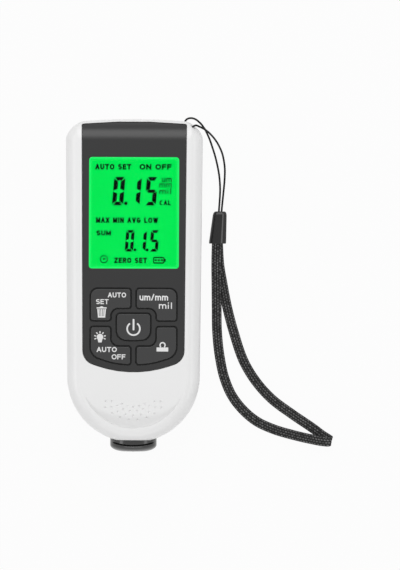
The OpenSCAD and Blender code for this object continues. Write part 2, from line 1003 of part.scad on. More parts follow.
module cord_loop() {
    line = cord_route;
    across = [for (i = [0:len(line) - 1]) unit(cross(tangent(line, i), [0.6, 0.8, 0.01]))];
    color("dimgray")
        tube(line, across, round_section(cord_d / 2, 8));
}

module wrist_strap() {
    x = strap_w / 2;
    y = strap_t / 2;
    section = [
        [x, -y / 2], [x, y / 2], [x - y / 2, y], [-x + y / 2, y],
        [-x, y / 2], [-x, -y / 2], [-x + y / 2, -y], [x - y / 2, -y]
    ];
    color("dimgray")
        tube(strap_route, [for (i = [0:len(strap_route) - 1]) strap_side(i)], section);
}

module clip_end(at, w, t, y) {
    r = 0.6;
    for (x = [-w / 2 + r, w / 2 - r], z = [r + 0.05, t - r])
        translate([at.x + x, y, z])
            sphere(r = r, $fn = 16);
}

module strap_clip() {
    color("black")
        hull() {
            clip_end(clip_low, 6.2, 4.2, clip_low.y + 0.6);
            clip_end(clip_high, 4.2, 3.4, clip_high.y - 0.6);
        }
}

front_case();
back_case();
face_panel();
display_window();
display_glass();
backlight();
display_frame();
zebra_strip();
circuit_board();
main_chip();
switch_housings();
key_mode();
key_units();
key_light();
key_zero();
key_power();
plunger_mode();
plunger_units();
plunger_light();
plunger_zero();
plunger_power();
probe_collar();
probe_head();
sensor_core();
coil_bobbin();
sensor_coil();
probe_cap();
retaining_clip();
probe_spring();
battery_cover();
battery_left();
battery_right();
battery_springs();
battery_contacts();
case_screws();
board_screws();
cord_loop();
strap_clip();
wrist_strap();
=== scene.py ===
import math

import bmesh
import bpy
import numpy as np
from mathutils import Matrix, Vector


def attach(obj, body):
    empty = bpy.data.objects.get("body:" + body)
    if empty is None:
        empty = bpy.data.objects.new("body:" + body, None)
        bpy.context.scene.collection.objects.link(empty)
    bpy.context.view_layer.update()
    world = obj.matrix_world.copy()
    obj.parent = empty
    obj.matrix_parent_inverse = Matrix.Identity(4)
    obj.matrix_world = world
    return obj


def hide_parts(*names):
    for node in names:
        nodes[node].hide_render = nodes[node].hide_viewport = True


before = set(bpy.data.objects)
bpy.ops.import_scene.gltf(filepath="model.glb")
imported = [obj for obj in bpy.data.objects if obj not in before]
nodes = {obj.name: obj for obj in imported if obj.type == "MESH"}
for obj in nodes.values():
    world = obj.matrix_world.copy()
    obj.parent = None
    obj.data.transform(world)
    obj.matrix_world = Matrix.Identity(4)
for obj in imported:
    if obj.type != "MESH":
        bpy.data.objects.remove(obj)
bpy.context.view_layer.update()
scene = bpy.context.scene

# Sizes in millimetres, in the frame of the solids: X across, Y along, Z from the back to the display
MM = 0.001
FIT = 0.1
BODY_W = 50
BODY_L = 118
BODY_T = 26
CORNER_R = 7
ROLL_R = 8
RIM_W = 5
RIM_H = 7
TOP_RIM_W = 0.4
BACK_RIM_W = 6
BACK_RIM_H = 8
BACK_WALL = 3
WALL = 2
Y_TOP = 60.8
Y_BOT = Y_TOP - BODY_L
Y_TIP = -60.8
SPLIT_Z = BODY_T / 2
ROLL_Y = Y_TOP - ROLL_R
TOP_R = 220
END_R = BODY_W / 2 - 0.8
END_Y = Y_BOT + END_R
CORNER_X = BODY_W / 2 - CORNER_R
CORNER_Y = Y_TOP - TOP_R + math.sqrt((TOP_R - CORNER_R) ** 2 - CORNER_X ** 2)
TOP_ANGLE = math.asin(CORNER_X / (TOP_R - CORNER_R))
SIDE_RUN = CORNER_Y - END_Y
SIDE_SLOPE = math.atan2(SIDE_RUN, CORNER_X)
SIDE_ANGLE = math.acos((END_R - CORNER_R) / math.hypot(CORNER_X, SIDE_RUN)) - SIDE_SLOPE
PARTING = 0.14
CORNER_EASE = 0.4

# Layers below the face
PANEL_T = 1.5
PANEL_SINK = 0.15
PANEL_GAP = 0.12
RECESS_D = PANEL_T + PANEL_SINK + 0.05
CEILING_D = RECESS_D + 1.8
CEILING_Z = BODY_T - CEILING_D
PANEL_Z = BODY_T - PANEL_SINK
BOARD_Z = CEILING_Z - 4
FLANGE_Z = CEILING_Z - 1.2
FLANGE_T = 1
KEY_TOP = PANEL_Z + 0.4
KEY_GAP = 0.57
KEY_EDGE = 0.25
KEY_FLANGE = 0.8

# Dark panel and keys, as corner points with a radius
PANEL = [
    (-18.5, -27.5, 5.5),
    (0, -33.9, 41),
    (18.5, -27.5, 5.5),
    (19.1, 58.83, 0.6),
    (0, 60.53, 197.4),
    (-19.1, 58.83, 0.6),
]
KEY_MODE = [
    (-15.5, -1.3, 2.4),
    (-15.5, -12.65, 0.8),
    (-8.5, -12.65, 0.8),
    (-8.5, -8.1, 3),
    (-1.2, -8.1, 0.8),
    (-1.2, -1.3, 0.8),
]
KEY_LIGHT = [
    (-15.5, -15.2, 0.8),
    (-15.5, -25.4, 4.2),
    (-6.6, -28.45, 29.3),
    (-1.2, -28.6, 0.8),
    (-1.2, -22.3, 0.8),
    (-8.5, -22.3, 3),
    (-8.5, -15.2, 0.8),
]
KEY_POWER = [
    (-6, -10.35, 1.1),
    (-6, -19.5, 3.2),
    (0, -19.9, 20),
    (6, -19.5, 3.2),
    (6, -10.35, 1.1),
]

# Display
WINDOW_W = 32.8
WINDOW_H = 40.6
WINDOW_Y = 26.5
WINDOW_R = 1.1
GLASS_W = WINDOW_W + 3.6
GLASS_H = WINDOW_H + 3.8
GLASS_ROOM = 0.6
GLASS_Z = BODY_T - RECESS_D - 1.2
INK_Z = GLASS_Z + 0.01
INK_T = 0.03
INK_STEP = 0.002

# Battery bay
CELL_D = 10.5
CELL_L = 44.5
CELL_X = CELL_D / 2 + 0.2
CELL_Z = 7.4
BAY_HALF = CELL_X + CELL_D / 2 + 0.3
BAY_Y0 = 2.5
BAY_Y1 = 52.6
BAY_TOP = CELL_Z + CELL_D / 2 + 0.4
BAY_WALL = 1.4
SLOT_HALF = 1.7
COVER_W = 24
COVER_Y0 = 0
COVER_Z0 = 0.15
COVER_Z1 = 1.75
GRIP_HALF = 6
GRIP_PITCH = 1.8
GRIP_D = 0.5

# Probe
PROBE_R = 8.5
SEAT_Y = Y_BOT + 6.7
HEAD_Y = SEAT_Y - 1.1
HUB_Y = SEAT_Y - 4
HUB_R = PROBE_R - 1.5
SKIRT_R = PROBE_R - 1.2
POCKET_Y = HUB_Y - 1.1
GROOVE_R = END_R + 1.25
GROOVE_W = 0.64
GROOVE_D = 0.8
NOSE_R = 3.2
NOSE_L = 2.5
FLANGE_L = 1.5
FLANGE_R = PROBE_R + 1.7
STEM_R = PROBE_R - 2.3
STEM_BORE_R = STEM_R - 1.6
STEM_GROOVE_R = STEM_R - 0.7
STEM_GROOVE_L = 0.8
CORE_R = 1.2
NOSE_Y = Y_TIP + 0.15
NOSE_FLOOR_Y = Y_TIP + 1.6
PROBE_FLAT_HALF = 9
PROBE_FLAT_D = 0.8
CAP_Y = SEAT_Y + FLANGE_L + 3
STOP_Y = CAP_Y + 6
STOP_T = 1.6
STOP_HALF = 7

# Screws, lanyard tunnel, thumb dish
CASE_SCREWS = [(x, y) for y in (Y_TOP - 7, Y_BOT + 16.7) for x in (-15.8, 15.8)]
BOARD_SCREWS = [(-19.3, -3), (19.3, -3), (-13, Y_BOT + 23.7), (13, Y_BOT + 23.7)]
BOSS_R = 2.6
POST_R = 2
CASE_SCREW_R = 1.05
CASE_SCREW_L = 4.7
SCREW_WAY_R = 1.1
SCREW_HEAD_R = 2.1
SCREW_HEAD_D = 3.8
BOARD_SCREW_R = 0.8
BOARD_SCREW_L = 3.3
MOUTH_FRONT = np.array((21.5, 58.3, 22.6))
MOUTH_TOP = np.array((18.2, 60.3, 15.4))
TUNNEL_OUT = np.array((0.54, 0.84, 0))
TUNNEL_R = 1
DISH_R = 19
DISH_Y = END_Y - 5
DISH_FLOOR_R = 42
DIMPLE_R = 0.43
DIMPLE_RISE = 0.14
DIMPLE_ROWS = [(9, 5), (10.5, 8), (12.2, 9), (13.8, 8)]
DIMPLE_PITCH = math.radians(13.7)
DIMPLE_Y = END_Y - 2.2

# Strap
CORD_D = 0.76
CORD_TWIST = 2.2
STRAP_W = 3.7
STRAP_T = 1.2
STRAP_RELIEF = 0.1
CORD_ROUTE = [
    (31.8, 24, 2.2), (32, 27.5, 2), (32.6, 34, 0.9), (33, 38.5, 0.6), (33.1, 43, 1), (32.4, 47.6, 3),
    (30.8, 51.5, 7.5), (28.4, 54.8, 13.5), (26.1, 56.8, 18.6), (23.8, 58, 22), (22.3, 58.5, 23),
    (20.8, 57.6, 22.6), (19.1, 56.1, 21.6), (18, 55.4, 20.3), (17.6, 55.5, 18.6), (17.6, 56.4, 16.9),
    (17.9, 58.2, 15.7), (18.4, 60, 15.3), (19.3, 61, 15.2), (20.7, 61.3, 15), (22, 61, 14.5),
    (23.6, 59.9, 13.4), (25.4, 57.8, 11.6), (26.9, 55, 9), (28.5, 50.8, 5), (30, 45.8, 1.8),
    (31, 40.8, 0.7), (31.4, 35.9, 0.6), (31.2, 30.5, 1.2), (31, 27.5, 2), (31, 24, 2.2),
]
STRAP_FOLD = 16
STRAP_ROUTE = [
    (30.4, 18.5, 2.9), (30.2, 14, 2.8), (30.1, 8, 2.3), (30.2, 0, 2.2), (30.3, -8, 2), (30.5, -17, 1),
    (31.5, -26, 0.7), (33.3, -34, 0.7), (36.1, -40.4, 0.7), (39.8, -45.2, 0.7), (45, -49.6, 0.7),
    (51.5, -52.6, 0.8), (58, -54.5, 1.4), (65, -56.1, 2.7), (69.6, -56.9, 3.4), (71.6, -57, 2.9),
    (72.2, -56.7, 2),
    (71.6, -56.2, 1.1), (69.8, -55.1, 0.7), (66, -52.3, 0.7), (58, -46.9, 0.7), (50.6, -41.4, 0.7),
    (45.4, -35.8, 0.7), (41.2, -29.4, 0.7), (36.5, -16.6, 0.7), (34.2, -8, 0.7), (32.4, 1, 0.7),
    (31.2, 8, 0.7), (30.8, 14, 1.1), (30.6, 18.5, 1.2),
]
CLIP_LOW = np.array((30.5, 15.5))
CLIP_HIGH = np.array((31.4, 27.35))
CLIP_W = 6.35
CLIP_T = 4.2
CLIP_W_TAPER = 1.4
CLIP_T_TAPER = 0.8


# Mesh helpers

def add(name, data):
    obj = bpy.data.objects.new(name, data)
    scene.collection.objects.link(obj)
    return obj


def full_turn(n):
    return np.linspace(0, 2 * math.pi, n, endpoint=False)


def quarter_turn(n):
    return np.linspace(0, math.pi / 2, n)


def make(name, points, faces, sharp=30):
    mesh = bpy.data.meshes.new(name)
    mesh.from_pydata([tuple(float(c) * MM for c in p) for p in points], [], [tuple(f) for f in faces])
    shape = bmesh.new()
    shape.from_mesh(mesh)
    bmesh.ops.remove_doubles(shape, verts=shape.verts, dist=1e-8)
    bmesh.ops.dissolve_degenerate(shape, edges=shape.edges, dist=1e-9)
    bmesh.ops.recalc_face_normals(shape, faces=shape.faces)
    shape.to_mesh(mesh)
    shape.free()
    obj = add(name, mesh)
    smooth(obj, sharp)
    return obj


def smooth(obj, sharp=30):
    obj.data.shade_smooth()
    obj.data.set_sharp_from_angle(angle=math.radians(sharp))


def loft_data(rings):
    n = len(rings[0])
    points = [p for ring in rings for p in ring]
    faces = []
    for k in range(len(rings) - 1):
        for i in range(n):
            a = k * n + i
            b = k * n + (i + 1) % n
            faces.append((a, b, b + n, a + n))
    faces.append(tuple(range(n - 1, -1, -1)))
    faces.append(tuple(range(len(points) - n, len(points))))
    return points, faces


def loft(name, rings, sharp=30):
    return make(name, *loft_data(rings), sharp)


def merged(name, shapes):
    points = []
    faces = []
    for more_points, more_faces in shapes:
        base = len(points)
        points.extend(more_points)
        faces.extend(tuple(i + base for i in f) for f in more_faces)
    return make(name, points, faces)


def level(flat, z):
    return [(p[0], p[1], z) for p in flat]


def prism_data(flat, z0, z1):
    return loft_data([level(flat, z0), level(flat, z1)])


def prism(name, flat, z0, z1):
    return make(name, *prism_data(flat, z0, z1))


def bar(x0, y0, x1, y1):
    return [(x0, y0), (x1, y0), (x1, y1), (x0, y1)]


def block_data(low, high):
    return prism_data(bar(*low[:2], *high[:2]), low[2], high[2])


def block(name, low, high):
    return make(name, *block_data(low, high))


def circle(x, y, r, n=48):
    turn = full_turn(n)
    return np.column_stack((x + r * np.cos(turn), y + r * np.sin(turn)))


def rods(name, spots, z0, z1, r):
    return merged(name, [prism_data(circle(x, y, r), z0, z1) for x, y in spots])


def lathe(name, profile, n=96, x=0, z=SPLIT_Z):
    turn = full_turn(n)
    points = [(x + r * math.cos(a), y, z + r * math.sin(a)) for r, y in profile for a in turn]
    count = len(profile)
    faces = []
    for k in range(count):
        for i in range(n):
            a = k * n + i
            b = k * n + (i + 1) % n
            c = (k + 1) % count * n
            faces.append((a, b, c + (i + 1) % n, c + i))
    return make(name, points, faces)


def spline(route, step):
    p = np.array(route, float)
    h = np.linalg.norm(np.diff(p, axis=0), axis=1)
    slope = np.diff(p, axis=0) / h[:, None]
    inner = (h[1:, None] * slope[:-1] + h[:-1, None] * slope[1:]) / (h[1:] + h[:-1])[:, None]
    pull = np.vstack((slope[:1], inner, slope[-1:]))
    fine = []
    place = []
    for i in range(len(h)):
        t = np.linspace(0, 1, 30, endpoint=False)[:, None]
        ease = t * t * (3 - 2 * t)
        bend = h[i] * (t * (1 - t) ** 2 * pull[i] - t * t * (1 - t) * pull[i + 1])
        fine.append(p[i] * (1 - ease) + p[i + 1] * ease + bend)
        place.append(i + t[:, 0])
    fine = np.vstack(fine + [p[-1:]])
    place = np.concatenate(place + [[len(h)]])
    run = np.concatenate(([0], np.cumsum(np.linalg.norm(np.diff(fine, axis=0), axis=1))))
    where = np.linspace(0, run[-1], int(run[-1] / step) + 1)
    line = np.column_stack([np.interp(where, run, fine[:, k]) for k in range(3)])
    return line, np.interp(where, run, place), where


def unit(v):
    return v / np.linalg.norm(v, axis=-1, keepdims=True)


def frames_along(line):
    ahead = unit(np.gradient(line, axis=0))
    side = unit(np.cross(ahead[0], (0.6, 0.8, 0.01)))
    sides = []
    for t in ahead:
        side = unit(side - t * np.dot(side, t))
        sides.append(side)
    sides = np.array(sides)
    return sides, np.cross(ahead, sides)


def tube_data(line, radius, n):
    side, up = frames_along(line)
    turn = full_turn(n)
    rings = [
        [p + radius * (math.cos(a) * s + math.sin(a) * u) for a in turn]
        for p, s, u in zip(line, side, up)
    ]
    return loft_data(rings)


def carve(obj, *steps):
    for operation, tool in steps:
        change = obj.modifiers.new(tool.name, "BOOLEAN")
        change.operation = operation
        change.object = tool
        change.solver = "MANIFOLD"
    bpy.context.view_layer.update()
    graph = bpy.context.evaluated_depsgraph_get()
    mesh = bpy.data.meshes.new_from_object(obj.evaluated_get(graph))
    obj.modifiers.clear()
    obj.data = mesh
    for _, tool in steps:
        bpy.data.objects.remove(tool)
    smooth(obj)
    return obj


def cut(obj, *tools):
    return carve(obj, *[("DIFFERENCE", tool) for tool in tools])


def piece(obj, body, slot, material, *replaced):
    obj.data.materials.clear()
    obj.data.materials.append(material)
    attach(obj, body)
    if replaced:
        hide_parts(*replaced)
    return obj


# Outlines from corner points that carry their own radius

def mirrored(corners):
    return [(-x, y, r) for x, y, r in reversed(corners)]


def corner_legs(corners, i):
    p = np.array(corners[i][:2], float)
    u = unit(p - np.array(corners[i - 1][:2], float))
    v = unit(np.array(corners[(i + 1) % len(corners)][:2], float) - p)
    return p, u, v, math.atan2(u[0] * v[1] - u[1] * v[0], float(np.dot(u, v)))


def left_of(v):
    return np.array((-v[1], v[0]))


def rounded(corners, step=7, count=None):
    flat = []
    for i, corner in enumerate(corners):
        p, u, _, turn = corner_legs(corners, i)
        start = p - u * corner[2] * math.tan(abs(turn) / 2)
        centre = start + left_of(u) * corner[2] * math.copysign(1, turn)
        spoke = start - centre
        for a in np.linspace(0, turn, count or math.ceil(abs(math.degrees(turn)) / step) + 2):
            flat.append((
                centre[0] + spoke[0] * math.cos(a) - spoke[1] * math.sin(a),
                centre[1] + spoke[0] * math.sin(a) + spoke[1] * math.cos(a),
            ))
    return flat


def grown(corners, by):
    moved = []
    for i, corner in enumerate(corners):
        p, u, v, turn = corner_legs(corners, i)
        out = p - (left_of(u) + left_of(v)) / (1 + float(np.dot(u, v))) * by
        moved.append((out[0], out[1], max(corner[2] + by * math.copysign(1, turn), 0.05)))
    return moved


def rectangle(w, h, y, r):
    return level(bar(-w / 2, y - h / 2, w / 2, y + h / 2), r)


KEYS = {
    "mode": KEY_MODE,
    "units": mirrored(KEY_MODE),
    "light": KEY_LIGHT,
    "zero": mirrored(KEY_LIGHT),
    "power": KEY_POWER,
}


# Case surface: rings of the outline, set in from the edge and stacked

def arc_stations(x, y, r, start, end, count, first):
    return [(x, y, r, start + (end - start) * k / count) for k in range(first, count + 1)]


STATIONS = np.array(
    arc_stations(0, Y_TOP - TOP_R, TOP_R, math.pi / 2, math.pi / 2 - TOP_ANGLE, 8, 0)
    + arc_stations(CORNER_X, CORNER_Y, CORNER_R, math.pi / 2 - TOP_ANGLE, -SIDE_ANGLE, 20, 1)
    + arc_stations(0, END_Y, END_R, -SIDE_ANGLE, -math.pi / 2, 48, 0)
)
HALF = len(STATIONS)
ROUND = 2 * HALF - 2


def case_outline(side_in, top_in):
    x, y, r, angle = STATIONS.T
    top_share = np.maximum(np.sin(angle), 0) ** 2
    ease = np.where(r == CORNER_R, CORNER_EASE * np.sin(2 * angle) ** 2, 0)
    reach = r - ease - side_in - (top_in - side_in) * top_share
    right = np.column_stack((x + reach * np.cos(angle), y + reach * np.sin(angle)))
    right[0, 0] = 0
    right[-1, 0] = 0
    return np.vstack((right * (-1, 1), right[-2:0:-1]))


def roll_drop(y):
    over = np.maximum(y - ROLL_Y, 0)
    return ROLL_R - np.sqrt(np.maximum(ROLL_R ** 2 - over ** 2, 0))


def front_ring(z, side_in, top_in, depth):
    flat = case_outline(side_in, top_in)
    full = BODY_T - depth - SPLIT_Z
    height = SPLIT_Z + (z - SPLIT_Z) * (full - roll_drop(flat[:, 1])) / full
    return np.column_stack((flat, height))


def flat_ring(z, side_in):
    flat = case_outline(side_in, side_in)
    return np.column_stack((flat, np.full(len(flat), z)))


def skin(name, rings):
    points, faces = loft_data(rings)
    faces = faces[:-2]
    top = (len(rings) - 1) * ROUND
    for h in range(HALF - 1):
        step = [h, (ROUND - h) % ROUND, (ROUND - h - 1) % ROUND, h + 1]
        step = list(dict.fromkeys(step))
        faces.append(tuple(top + i for i in step))
        faces.append(tuple(reversed(step)))
    return make(name, points, faces)


def front_solid():
    rim = []
    for a in quarter_turn(25):
        inset = 1 - math.cos(a)
        rim.append(front_ring(BODY_T - RIM_H + RIM_H * math.sin(a), RIM_W * inset, TOP_RIM_W * inset, 0))
    lip = [
        front_ring(SPLIT_Z, PARTING, PARTING, 0),
        front_ring(SPLIT_Z + PARTING, 0, 0, 0),
    ]
    return skin("front_case_shell", lip + rim)


def front_hollow():
    return skin("front_hollow", [
        front_ring(SPLIT_Z - 1, WALL, WALL, CEILING_D),
        front_ring(CEILING_Z - 3, WALL, WALL, CEILING_D),
        front_ring(CEILING_Z, WALL + 2, WALL, CEILING_D),
    ])


def back_solid(name):
    rim = [
        flat_ring(BACK_RIM_H * (1 - math.cos(a)), BACK_RIM_W * (1 - math.sin(a)))
        for a in quarter_turn(25)
    ]
    return skin(name, rim + [flat_ring(SPLIT_Z - PARTING, 0), flat_ring(SPLIT_Z, PARTING)])


def back_hollow():
    return skin("back_hollow", [
        flat_ring(BACK_WALL, WALL + 3),
        flat_ring(BACK_WALL + 4, WALL),
        flat_ring(SPLIT_Z + 1, WALL),
    ])


def under_roll(depth):
    arc = [
        (ROLL_Y + (ROLL_R - depth) * math.sin(a), BODY_T - ROLL_R + (ROLL_R - depth) * math.cos(a))
        for a in quarter_turn(49)
    ]
    profile = [(arc[-1][0], -1), (Y_BOT - 10, -1), (Y_BOT - 10, BODY_T - depth)] + arc
    return loft("under_roll", [[(x, y, z) for y, z in profile] for x in (-BODY_W, BODY_W)])


# Case

def probe_seat():
    return lathe("probe_bore", [
        (0, Y_BOT - 2),
        (PROBE_R + FIT, Y_BOT - 2),
        (PROBE_R + FIT, SEAT_Y),
        (FLANGE_R + FIT, SEAT_Y),
        (FLANGE_R + FIT, SEAT_Y + FLANGE_L + FIT),
        (PROBE_R + FIT, SEAT_Y + FLANGE_L + FIT),
        (PROBE_R + FIT, CAP_Y),
        (0, CAP_Y),
    ])


def probe_flat():
    x = PROBE_FLAT_HALF
    return block("probe_flat", (-x, Y_BOT - 2, -1), (x, Y_BOT + PROBE_FLAT_D, BODY_T + 1))


def probe_block(z0, z1):
    x = PROBE_R + 3.4
    return block("probe_block", (-x, Y_BOT, z0), (x, SEAT_Y + FLANGE_L + 1.6, z1))


def lanyard_tunnel():
    across = unit(MOUTH_FRONT - MOUTH_TOP)
    inward = unit(np.dot(across, TUNNEL_OUT) * across - TUNNEL_OUT)
    middle = (MOUTH_FRONT + MOUTH_TOP) / 2
    reach = np.linalg.norm(MOUTH_FRONT - MOUTH_TOP) / 2
    bend = [
        middle + reach * (math.cos(a) * across + math.sin(a) * inward)
        for a in np.linspace(0, math.pi, 33)
    ]
    line = np.array([bend[0] - 4 * inward] + bend + [bend[-1] - 4 * inward])
    return make("lanyard_tunnel", *tube_data(line, TUNNEL_R, 32))


def dish_height(y):
    return BODY_T - DISH_FLOOR_R + np.sqrt(DISH_FLOOR_R ** 2 - np.minimum(y - DISH_Y, 0) ** 2)


def thumb_dish():
    bowl = prism("thumb_dish", circle(0, END_Y, DISH_R, 192), SPLIT_Z + 4, BODY_T + 4)
    run = np.linspace(DISH_Y - 30, DISH_Y, 90)
    floor = [(y, dish_height(y)) for y in run]
    rest = [(DISH_Y, BODY_T + 5), (DISH_Y + 30, BODY_T + 5), (DISH_Y + 30, 0), (DISH_Y - 30, 0)]
    under = loft("dish_floor", [[(x, y, z) for y, z in floor + rest] for x in (-BODY_W, BODY_W)])
    return cut(bowl, under)


def ball_data(x, y, z, r):
    n = 12
    turn = full_turn(2 * n)
    rings = []
    for a in np.linspace(-math.pi / 2, math.pi / 2, n + 1)[1:-1]:
        rings.append([
            (x + r * math.cos(a) * math.cos(t), y + r * math.cos(a) * math.sin(t), z + r * math.sin(a))
            for t in turn
        ])
    return loft_data(rings)


def dimples():
    balls = []
    for reach, count in DIMPLE_ROWS:
        for k in range(count):
            a = -math.pi / 2 + DIMPLE_PITCH * (k - (count - 1) / 2)
            y = DIMPLE_Y + reach * math.sin(a)
            balls.append(ball_data(reach * math.cos(a), y, float(dish_height(y)) + DIMPLE_RISE, DIMPLE_R))
    return merged("dimples", balls)


def front_case(material):
    room = cut(
        front_hollow(),
        rods("bosses", CASE_SCREWS, 0, BODY_T, BOSS_R),
        rods("posts", BOARD_SCREWS, BOARD_Z, BODY_T, POST_R),
        block("lanyard_corner", (13.9, Y_TOP - 9.1, 0), (BODY_W, Y_TOP, BODY_T)),
        probe_block(0, BODY_T),
    )
    recess = prism("recess", rounded(grown(PANEL, FIT)), SPLIT_Z + 1, BODY_T + 1)
    cut(recess, under_roll(RECESS_D))
    window = rounded(rectangle(GLASS_W + GLASS_ROOM, GLASS_H + GLASS_ROOM, WINDOW_Y, 1))
    holes = [prism_data(rounded(grown(k, KEY_GAP)), CEILING_Z - 1, BODY_T) for k in KEYS.values()]
    case = cut(
        front_solid(),
        room,
        recess,
        prism("window_hole", window, CEILING_Z - 1, BODY_T),
        merged("key_holes", holes),
        rods("screw_holes", CASE_SCREWS, SPLIT_Z - 1, SPLIT_Z + CASE_SCREW_L, CASE_SCREW_R),
        rods("post_holes", BOARD_SCREWS, BOARD_Z - 1, BOARD_Z + BOARD_SCREW_L, BOARD_SCREW_R),
        thumb_dish(),
        dimples(),
        lanyard_tunnel(),
        probe_seat(),
        probe_flat(),
    )
    piece(case, "case", "white_case", material, "front_case")


def cover_boxes(name, gap):
    x = COVER_W / 2 + gap
    y0 = COVER_Y0 - gap
    low = block(name, (-x, y0, COVER_Z0 - gap * 3), (x, Y_TOP + 1, COVER_Z1 + gap))
    tongues = block(
        "tongues", (-x - 1, y0, COVER_Z1 - 0.8 - gap), (x + 1, Y_TOP + 1.2, COVER_Z1 + gap)
    )
    return carve(low, ("UNION", tongues))


def back_case(material):
    room = cut(
        back_hollow(),
        rods("bosses", CASE_SCREWS, 0, SPLIT_Z + 2, BOSS_R),
        probe_block(0, SPLIT_Z + 2),
    )
    shell = cut(
        back_solid("back_case_shell"),
        room,
        rods("screw_ways", CASE_SCREWS, -1, SPLIT_Z + 1, SCREW_WAY_R),
        rods("screw_heads", CASE_SCREWS, -1, SCREW_HEAD_D, SCREW_HEAD_R),
        probe_seat(),
        probe_flat(),
    )
    bay = block(
        "bay_walls",
        (-BAY_HALF - BAY_WALL, BAY_Y0 - BAY_WALL, BACK_WALL - 1),
        (BAY_HALF + BAY_WALL, BAY_Y1 + BAY_WALL, BAY_TOP + BAY_WALL),
    )
    stop = block(
        "spring_stop", (-STOP_HALF, STOP_Y, BACK_WALL - 1), (STOP_HALF, STOP_Y + STOP_T, SPLIT_Z + 5)
    )
    slots = [
        block_data((x - SLOT_HALF, BAY_Y0 - 0.01, CELL_Z), (x + SLOT_HALF, BAY_Y0 + 0.4, BAY_TOP + 3))
        for x in (-CELL_X, CELL_X)
    ]
    carve(
        shell,
        ("UNION", bay),
        ("UNION", stop),
        ("DIFFERENCE", block("bay_room", (-BAY_HALF, BAY_Y0, -1), (BAY_HALF, BAY_Y1, BAY_TOP))),
        ("DIFFERENCE", cover_boxes("cover_way", FIT)),
        ("DIFFERENCE", merged("contact_slots", slots)),
    )
    piece(shell, "case", "white_case", material, "back_case")


def battery_cover(material):
    grips = []
    for k in range(5):
        y = COVER_Y0 + GRIP_PITCH * k
        grips.append(block_data((-GRIP_HALF, y + 5, -1), (GRIP_HALF, y + 5.9, COVER_Z0 + GRIP_D)))
    cover = carve(
        back_solid("battery_cover_plate"),
        ("INTERSECT", cover_boxes("cover_shape", 0)),
        ("DIFFERENCE", merged("grips", grips)),
    )
    piece(cover, "cover", "white_case", material, "battery_cover")


# Face

def face_panel(material):
    plate = prism("face_panel_plate", rounded(grown(PANEL, -PANEL_GAP)), SPLIT_Z + 1, BODY_T)
    holes = [prism_data(rounded(grown(k, KEY_GAP)), SPLIT_Z, BODY_T + 1) for k in KEYS.values()]
    window = rounded(rectangle(WINDOW_W, WINDOW_H, WINDOW_Y, WINDOW_R))
    carve(
        plate,
        ("DIFFERENCE", under_roll(PANEL_SINK + PANEL_T)),
        ("INTERSECT", under_roll(PANEL_SINK)),
        ("DIFFERENCE", prism("window_cut", window, SPLIT_Z, BODY_T + 1)),
        ("DIFFERENCE", merged("key_cuts", holes)),
    )
    piece(plate, "case", "dark_panel", material, "face_panel")


def edge_rings(corners, z, edge):
    return [
        level(rounded(grown(corners, -edge * (1 - math.cos(a)))), z - edge + edge * math.sin(a))
        for a in quarter_turn(5)
    ]


def window_lens(material):
    top = BODY_T - RECESS_D
    flange = rectangle(GLASS_W, GLASS_H, WINDOW_Y, 1)
    inner = rectangle(WINDOW_W - FIT, WINDOW_H - FIT, WINDOW_Y, WINDOW_R)
    rings = [
        level(rounded(flange), top - 1.1),
        level(rounded(flange), top),
        level(rounded(inner), top),
    ]
    lens = loft("window_lens", rings + edge_rings(inner, PANEL_Z - 0.1, 0.3))
    piece(lens, "case", "window", material, "display_window")


def key(name, corners, material):
    flange = grown(corners, KEY_FLANGE)
    rings = [
        level(rounded(flange), FLANGE_Z),
        level(rounded(flange), FLANGE_Z + FLANGE_T),
        level(rounded(corners), FLANGE_Z + FLANGE_T),
    ]
    rings += edge_rings(corners, KEY_TOP, KEY_EDGE)
    rings.append(level(rounded(grown(corners, -KEY_EDGE - 0.15)), KEY_TOP))
    cap = loft("key_cap_" + name, rings)
    piece(cap, name + "_key", "key_grey", material, "key_" + name)


# Printed signs, as thin flat shapes

def band(x, y, r0, r1, start, end, n=40):
    turn = np.radians(np.linspace(start, end, n))
    outer = [(x + r1 * math.cos(a), y + r1 * math.sin(a)) for a in turn]
    inner = [(x + r0 * math.cos(a), y + r0 * math.sin(a)) for a in reversed(turn)]
    return outer + inner


def stroke(x0, y0, x1, y1, w):
    across = left_of(unit(np.array((x1 - x0, y1 - y0)))) * w / 2
    a = np.array((x0, y0))
    b = np.array((x1, y1))
    return [tuple(a - across), tuple(b - across), tuple(b + across), tuple(a + across)]


def ink(name, shapes, z, body, slot, material):
    sign = merged(name, [prism_data(flat, z, z + INK_T + k * INK_STEP) for k, flat in enumerate(shapes)])
    piece(sign, body, slot, material)


